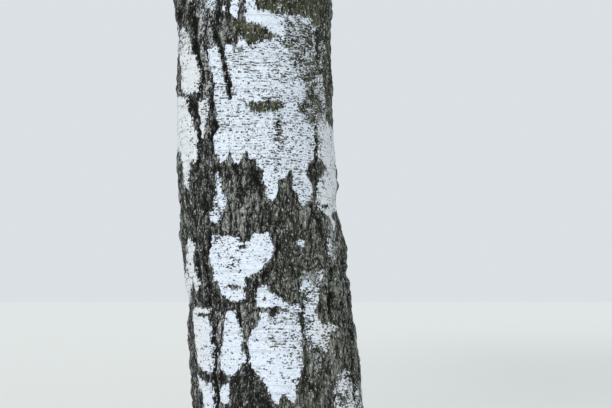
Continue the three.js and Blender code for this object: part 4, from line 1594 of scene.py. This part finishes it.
@dataclass
class Crown:
    """The boughs, and the branches, twigs and leaves that they carry."""

    form: TrunkForm
    limbs: LimbRule = field(default_factory=LimbRule)
    branching: BranchRule = field(default_factory=BranchRule)
    twigs: TwigRule = field(default_factory=TwigRule)
    twig_finish: PlainFinish = PlainFinish("birch_twig", 0x4A342B, 0.7)
    clear_of_space: float = 4.0
    shed_boughs: int = 120
    shed_heights: tuple[float, float] = (2250.0, 15800.0)
    shed_height_jitter: float = 300.0
    shed_width: float = 1.15
    shed_width_jitter: float = 0.7
    shed_turn_jitter: float = 1.2
    shed_slope: float = 0.35
    shed_slope_jitter: float = 0.5
    shed_lean_jitter: float = 0.9
    brow_rise: float = 1.3
    brow_width: float = 5.0
    trunk_rings: int = 40
    stem_mesh: tuple[int, int] = (9, 7)
    branch_mesh: tuple[int, int] = (6, 6)
    space_margin: float = 30.0
    inner_margin: float = 200.0
    first_seed: int = 500
    bough_sides: int = 16
    bough_parts: int = 14

    def __post_init__(self) -> None:
        """Grows the limbs, the masses and the lines that foliage keeps clear of."""
        grown = [self.limbs.limb(index, self.form) for index in range(self.limbs.count)]
        self.lines = [line for line, _ in grown]
        bare = self.limbs.bare_steps + 1
        self.bare = [Line(line.points[:bare], line.radii[:bare] * self.limbs.collar) for line in self.lines]
        top = self.form.tip_height - self.twigs.leader_drop * np.arange(1, -1, -1)
        inner = [(line.points[1:bare], line.radii[1:bare]) for line in self.lines]
        inner.append((self.form.centre(top), self.form.radius(top, 0.0 * top)))
        self.inner = [Line(*part, twig_share=self.twigs.inner_length) for part in inner]
        heights = self.form.tip_height * np.arange(self.trunk_rings + 1) / self.trunk_rings
        self.trunk = Line(self.form.centre(heights), self.form.radius(heights, 0.0 * heights))
        self.masses = []
        for index, (line, length) in enumerate(grown):
            stem, numbers = self.limbs.stem(line), Numbers(self.limbs.count + index)
            branches = self.branching.on_stem(stem, length, self.limbs.stem_steps, numbers)
            self.masses.append(Mass(f"foliage_{index + 1:02d}", self.limbs.share(index), stem, branches))
        leader, numbers = self.leader(), Numbers(2 * self.limbs.count)
        branches = self.branching.on_leader(leader, self.limbs.turn_jitter, numbers)
        self.masses.append(Mass("foliage_top", 1.0, leader, branches))
        self.centres = np.array([along(mass.stem.points, 0.5) for mass in self.masses])
        for own, mass in enumerate(self.masses):
            mass.branches = [line for line in mass.branches if self.keeps(line, own)]

    def leader(self) -> Line:
        """Grows the leader on from the trunk's tip."""
        part = np.arange(self.limbs.stem_steps + 1) / self.limbs.stem_steps
        top = self.form.centre(np.array(self.form.tip_height))
        points = top + part[:, None] * self.branching.leader_length * UP
        return Line(points, self.form.tip_radius + (self.limbs.tip_radius - self.form.tip_radius) * part)

    def in_own_space(self, points: np.ndarray, own: int) -> np.ndarray:
        """Tells which points are on a mass's side of the middle plane to every other mass."""
        between = np.delete(self.centres, own, axis=0) - self.centres[own]
        spans = np.linalg.norm(between, axis=1)
        ahead = (points - self.centres[own]) @ between.T / spans
        return np.all(ahead < spans / 2.0 - self.clear_of_space, axis=1)

    def keeps(self, line: Line, own: int) -> bool:
        """Tells whether a branch keeps to its mass's space and touches no limb."""
        points = np.array([along(line.points, share) for share in self.branching.tested_at])
        stems = [mass.stem for index, mass in enumerate(self.masses) if index != own]
        clear = clearance(points, [self.trunk, *self.bare, *stems]) > self.branching.clear_of_limb
        return bool(np.all(clear & self.in_own_space(points, own)))

    def scars(self) -> list[Scar]:
        """Gives the dark brow over each bough, and those over the boughs that the trunk has shed."""
        brows = []
        for index in range(self.shed_boughs):
            numbers = Numbers(3 * self.limbs.count + index)
            share = (index + 0.5) / self.shed_boughs
            height = blend(self.shed_heights, share) + numbers.jitter(self.shed_height_jitter)
            radius = self.form.thickness(height)
            width = radius * (self.shed_width + numbers.jitter(self.shed_width_jitter))
            angle = index * GOLDEN_TURN + numbers.jitter(self.shed_turn_jitter)
            slope = self.shed_slope + numbers.jitter(self.shed_slope_jitter)
            brows.append(Scar(angle, height, width, slope, numbers.jitter(self.shed_lean_jitter)))
        for line in self.lines:
            way = line.points[1] - line.points[0]
            flat = float(np.hypot(way[0], way[1]))
            radius = self.form.thickness(line.points[0, 2])
            above = self.brow_rise * line.radii[0]
            height = float(line.points[0, 2] + way[2] / flat * radius + above)
            brows.append(Scar(math.atan2(way[1], way[0]), height, self.brow_width * float(line.radii[0])))
        return brows

    def build_boughs(self, material: bpy.types.Material, bark: BoughBark) -> None:
        """Makes the bare boughs with their bark."""
        for index, line in enumerate(self.lines):
            fine = eased(line.points, self.bough_parts)
            shares = [np.linspace(0.0, 1.0, len(values)) for values in (fine, line.radii)]
            radii = np.interp(*shares, line.radii)
            last = self.limbs.bare_steps * self.bough_parts + 1
            fine, radii = fine[:last], radii[:last]
            inside = self.form.thickness(line.points[0, 2])
            flat = np.hypot(*(fine - fine[0])[:, :2].T)
            keep = flat > self.limbs.sunk_to * inside
            beyond = np.linalg.norm(fine - fine[0], axis=1) * (1.0 - inside / np.maximum(flat, 1.0))
            swell = 1.0 + (self.limbs.collar - 1.0) * smooth(self.limbs.collar_length, 0.0, beyond)
            points, faces = tubes(fine[None, keep], (radii * swell)[None, keep], self.bough_sides)
            piece = bark.dressed(f"bough_bark_{index + 1:02d}", points, faces, fine[keep], radii[keep])
            finish_piece(piece, [f"bough_{index + 1:02d}"], material)

    def build_wood(self, mass: Mass, material: bpy.types.Material, bark: BoughBark) -> None:
        """Makes the stem and the side branches of a mass."""
        wood, fields = [], {}
        branches = [(branch, *self.branch_mesh) for branch in mass.branches]
        for line, sides, parts in [(mass.stem, *self.stem_mesh), *branches]:
            fine, radii = eased(line.points, parts), eased(line.radii, parts)
            wood.append(tubes(fine[None], radii[None], sides))
            for name, values in bark.fields(wood[-1][0], np.repeat(radii, sides)).items():
                fields.setdefault(name, []).append(values)
        whole = {name: np.concatenate(values) for name, values in fields.items()}
        piece = mesh_object(mass.name.replace("foliage", "branches"), *joined(wood), **whole)
        finish_piece(piece, [mass.name], material)

    def hung(self, mass: Mass, own: int, random: np.random.Generator, obstacles: list[Line]) -> list[tuple]:
        """Hangs the twigs of a mass.

        Args:
            mass: The mass.
            own: Its place among the masses.
            random: The mass's own numbers.
            obstacles: What the twigs keep clear of.

        Returns:
            For each twig its root, direction, length and side.
        """
        rule, made = self.twigs, []
        axis = self.form.centre(along(mass.stem.points, 0.5)[2])
        low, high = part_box(mass.name)
        low, high = np.array(low) / MM - self.space_margin, np.array(high) / MM + self.space_margin
        inner = self.inner[own : own + 1]
        at_top = own == len(self.masses) - 1
        for line in inner:
            low[:2] = np.minimum(low[:2], line.points[:, :2].min(axis=0) - self.inner_margin)
            high[:2] = np.maximum(high[:2], line.points[:, :2].max(axis=0) + self.inner_margin)
            low[2] = min(low[2], line.points[0, 2] - self.inner_margin)
        for line in [*mass.branches, mass.stem, *inner]:
            count = max(1, round(line.length() / rule.spacing))
            for place in range(count):
                root = along(line.points, rule.last_place - rule.place_span * place / count)
                outward = unit((root - axis) * [1.0, 1.0, 0.0])
                if at_top:
                    outward = headed(GOLDEN_TURN * place, 0.0)
                hang, share = 1.0, line.twig_share
                if line.rising:
                    hang, share = rule.rising_hang, rule.rising_length
                elif place % rule.upright_every == 1:
                    hang, share = rule.upright_hang, rule.upright_length
                for attempt in range(rule.tries):
                    swing = (random.random(2) - 0.5) * rule.swing
                    lean = blend(rule.outward, mass.share**3) * random.random()
                    way = unit(outward * lean + np.array([*swing, 0.0]) - hang * UP)
                    size = blend((1.0, rule.top_share), mass.share) * rule.shortening**attempt
                    size *= share * rule.mean_length
                    length = rule.longest * size * (1.0 + (random.random() - 0.5) * rule.length_jitter)
                    turn = 2.0 * math.pi * random.random()
                    side = unit(np.cross(way, np.array([math.cos(turn), math.sin(turn), 0.0])))
                    reach = root + way * length * np.array(rule.tested_at)[:, None]
                    within = np.all((reach > low) & (reach < high), axis=1)
                    within &= at_top | self.in_own_space(reach, own)
                    if np.all(within & (clearance(reach, obstacles) > rule.clear_of_limb)):
                        made.append((root, way, length, side))
                        break
        return made

    def foliage(self, mass: Mass, own: int) -> tuple[list[np.ndarray], list[np.ndarray], LeafCloud]:
        """Grows the twigs, shoots and leaves of a mass.

        Args:
            mass: The mass.
            own: Its place among the masses.

        Returns:
            The twigs' lines, the shoots' lines and the leaves.
        """
        rule, random = self.twigs, np.random.default_rng(self.first_seed + own)
        near = [self.trunk, *self.bare]
        obstacles = [*near, *[other.stem for other in self.masses if other is not mass]]
        twigs, shoots, cloud = [], [], LeafCloud()
        for root, way, length, side in self.hung(mass, own, random, obstacles):
            part = np.linspace(0.0, 1.0, rule.steps)[:, None]
            bow = unit(np.cross(side, way)) * (random.random() - 0.3) * rule.bow
            droop = UP * rule.droop * max(0.0, 1.0 + way[2])
            curve = root + length * (way * part + (bow + droop) * part * (1.0 - part))
            curve += (random.random((rule.steps, 3)) - 0.5) * rule.crook * np.minimum(part * 4.0, 1.0)
            twigs.append(curve)
            tone = int(random.integers(len(Tone)))
            count = max(3, int(length / rule.shoot_spacing))
            share = (np.arange(count) + 0.7 * random.random(count) + 0.3) / (count + 0.3)
            starts = np.array([along(curve, value) for value in share])
            before, after = share / rule.widest_at, (1 - share) / (1 - rule.widest_at)
            wide = np.where(share < rule.widest_at, before, after)
            reach = length * rule.width_share * (0.3 + 0.7 * wide) * (0.7 + 0.6 * random.random(count))
            hand = np.where(np.arange(count) % 2 == 0, 1.0, -1.0)[:, None]
            angle = rule.shoot_angle * (0.7 + 0.6 * random.random((count, 1)))
            depth = (random.random((count, 1)) - 0.5) * rule.shoot_turn * unit(np.cross(side, way))
            ahead = way * np.cos(angle) + (side * hand + depth) * np.sin(angle)
            ahead = unit(ahead - rule.shoot_drop * UP)
            ends = starts + ahead * reach[:, None]
            lines = np.stack([starts, ends], axis=1)
            shoots.append(lines)
            self.leaf_out(curve, lines, reach, tone, random, near, cloud)
        return twigs, shoots, cloud

    def leaf_out(
        self,
        curve: np.ndarray,
        shoots: np.ndarray,
        reach: np.ndarray,
        tone: int,
        random: np.random.Generator,
        near: list[Line],
        cloud: LeafCloud,
    ) -> None:
        """Puts leaves along one twig and its shoots.

        Args:
            curve: The twig's line.
            shoots: The shoots' lines.
            reach: The shoots' lengths.
            tone: The spray's tone.
            random: The mass's own numbers.
            near: What leaves keep clear of.
            cloud: Takes the leaves.
        """
        rule = self.twigs
        places, ways = [], []
        for line, length in [*zip(shoots, reach), (curve[rule.leafy_from :], rule.leafy_length)]:
            count = max(2, int(length / rule.leaf_spacing))
            share = np.clip((np.arange(count) + 1.0) / count - 0.2 * random.random(count), 0.0, 1.0)
            places.append(np.array([along(line, value) for value in share]))
            ways.append(np.repeat(unit(line[-1] - line[0])[None], count, axis=0))
        place, way = np.concatenate(places), np.concatenate(ways)
        count = len(place)
        loose = random.random((count, 3)) - 0.5
        blade = unit(rule.blade_along * way + rule.leaf_scatter * loose - rule.blade_drop * UP)
        outward = unit((place - self.trunk.points[self.trunk_rings // 2]) * [1.0, 1.0, 0.0])
        loose = random.random((count, 3)) - 0.5
        facing = rule.face_up * UP + rule.face_outward * outward + rule.leaf_scatter * loose
        facing = unit(facing - np.sum(facing * blade, axis=1, keepdims=True) * blade)
        across = np.cross(blade, facing)
        turns = np.stack([
            np.arctan2(blade[:, 2], facing[:, 2]),
            -np.arcsin(np.clip(across[:, 2], -1.0, 1.0)),
            np.arctan2(across[:, 1], across[:, 0]),
        ], axis=1)
        small, large = rule.leaf_sizes
        sizes = large - (large - small) * random.random(count)
        clear = clearance(place, near) > rule.clear_of_limb
        cloud.points.append(place[clear])
        cloud.turns.append(turns[clear])
        cloud.sizes.append(sizes[clear])
        cloud.tones.append(np.full(int(clear.sum()), tone))

    def build(self, bough: bpy.types.Material, bark: BoughBark) -> None:
        """Makes the whole crown.

        Args:
            bough: The material of boughs and branches.
            bark: How their bark lies.
        """
        self.build_boughs(bough, bark)
        leaves, twig = Leaves(), self.twig_finish.material()
        blade = leaves.blade()
        tree, key = leaves.scatter(blade)
        rule = self.twigs
        for own, mass in enumerate(self.masses):
            self.build_wood(mass, bough, bark)
            twigs, shoots, cloud = self.foliage(mass, own)
            lines, offs = np.array(twigs), np.concatenate(shoots)
            thin = rule.radius * np.linspace(1.0, rule.tip_share, rule.steps)
            thinner = rule.shoot_radius * np.array([1.0, rule.shoot_tip_share])
            wood = [
                tubes(part, np.tile(radii, (len(part), 1)), rule.sides)
                for part, radii in ((lines, thin), (offs, thinner))
            ]
            piece = mesh_object(mass.name.replace("foliage", "twigs"), *joined(wood))
            finish_piece(piece, [mass.name], twig)
            grown = leaves.grow(mass.name.replace("foliage", "leaves"), cloud, tree, key, blade)
            finish_piece(grown, [mass.name])


@dataclass
class BoughBark:
    """The bark of boughs and branches: pale and scaly on the thick ones, red-brown on the thin ones."""

    brown_radius: tuple[float, float] = (16.0, 40.0)
    scale_height: float = 2.4
    full_radius: float = 40.0
    speckle: float = 0.6
    fleck: float = 0.5
    lenticel: float = 0.6
    worn: float = 0.5

    def fields(self, points: np.ndarray, radii: np.ndarray) -> dict[str, np.ndarray]:
        """Works out the bark at points round wood of a radius.

        Args:
            points: Places in millimetres.
            radii: The radius of the wood at each.

        Returns:
            The fields that the bark's material reads.
        """
        thick = smooth(*self.brown_radius, radii)
        blotch = noise(points, Grain.BOUGH_BLOTCH) + 0.5 * noise(points, Grain.BOUGH_SPOTS)
        return {
            "paper": 40.0 * blotch + 10.0 * thick - 3.0,
            "speckle": np.full(len(points), self.speckle),
            "fleck": np.full(len(points), self.fleck),
            "moss": 0.4 * smooth(0.0, 0.4, blotch),
            "lenticel": np.full(len(points), self.lenticel),
            "worn": np.full(len(points), self.worn),
            "ridge": 0.5 + 0.8 * noise(points, Grain.BOUGH_RIDGES),
            "young": 1.0 - thick,
        }

    def dressed(
        self, name: str, points: np.ndarray, faces: np.ndarray, line: np.ndarray, radii: np.ndarray
    ) -> bpy.types.Object:
        """Makes a bough's mesh with the relief of its bark.

        Args:
            name: The piece's name.
            points: The points of the smooth rings.
            faces: The faces.
            line: The centre of each ring.
            radii: The radius of each ring.

        Returns:
            The bough.
        """
        sides = len(points) // len(line)
        centre = np.repeat(line, sides, axis=0)
        around = np.repeat(radii, sides)
        fields = self.fields(points, around)
        bumps = noise(points, Grain.BOUGH_BUMPS) + 0.6 * noise(points, Grain.BOUGH_LUMPS)
        dark = smooth(2.0, -10.0, fields["paper"])
        lift = self.scale_height * (bumps * 1.6 + dark) * np.minimum(around / self.full_radius, 1.0)
        return mesh_object(name, points + unit(points - centre) * lift[:, None], faces, **fields)


@dataclass
class Studio:
    """The plain pale floor, the light and the camera."""

    view: PhotoView
    floor_radius: float = 400.0
    floor_sides: int = 96
    floor_finish: PlainFinish = PlainFinish("matt_floor", 0xE4E6E3, 0.95)
    sky_colour: int = 0xE6EBF0
    sky_strength: float = 0.9
    sun_colour: int = 0xFFFCF6
    sun_strength: float = 1.6
    sun_from: tuple[float, float, float] = (-0.38, -0.92, 0.55)
    sun_softness: float = math.radians(30)
    farthest: float = 1000.0

    def build(self) -> None:
        """Makes the floor, the sky's light, the sun and the camera."""
        rim = np.linspace(0.0, 2.0 * math.pi, self.floor_sides, endpoint=False)
        points = np.stack([np.cos(rim), np.sin(rim), 0.0 * rim], axis=1) * self.floor_radius
        floor_mesh = bpy.data.meshes.new("floor")
        floor_mesh.from_pydata([tuple(point) for point in points], [], [tuple(range(self.floor_sides))])
        floor_mesh.materials.append(self.floor_finish.material())
        placed_object("floor", floor_mesh)
        sky = bpy.data.worlds.new("pale_sky")
        sky.use_nodes = True
        background = sky.node_tree.nodes["Background"].inputs
        background["Color"].default_value = linear(self.sky_colour)
        background["Strength"].default_value = self.sky_strength
        bpy.context.scene.world = sky
        sun = bpy.data.lights.new("sun", "SUN")
        sun.energy = self.sun_strength
        sun.color = linear(self.sun_colour)[:3]
        sun.angle = self.sun_softness
        toward = Vector(self.sun_from).to_track_quat("Z", "Y")
        placed_object("sun", sun).rotation_euler = toward.to_euler()
        data = bpy.data.cameras.new("camera")
        data.lens, data.sensor_width = self.view.lens, self.view.sensor
        data.clip_end = self.farthest
        camera = placed_object("camera", data)
        camera.location = Vector(self.view.eye) * MM
        camera.rotation_euler = (math.pi / 2.0 + self.view.pitch, 0.0, 0.0)
        bpy.context.scene.camera = camera
        bpy.context.scene.view_settings.view_transform = "Standard"


def main() -> None:
    """Builds the tree piece by piece."""
    logging.basicConfig(level=logging.INFO, format="%(name)s: %(message)s")
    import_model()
    form = TrunkForm(tip_height=round(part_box("trunk")[1].z / MM))
    crown = Crown(form)
    bark = Bark(form, scars=crown.scars())
    Studio(bark.view).build()
    Trunk(form, bark).build(BirchBark().material())
    crown.build(BirchBark(name="bough_bark").material(), BoughBark())


if __name__ == "__main__":
    main()
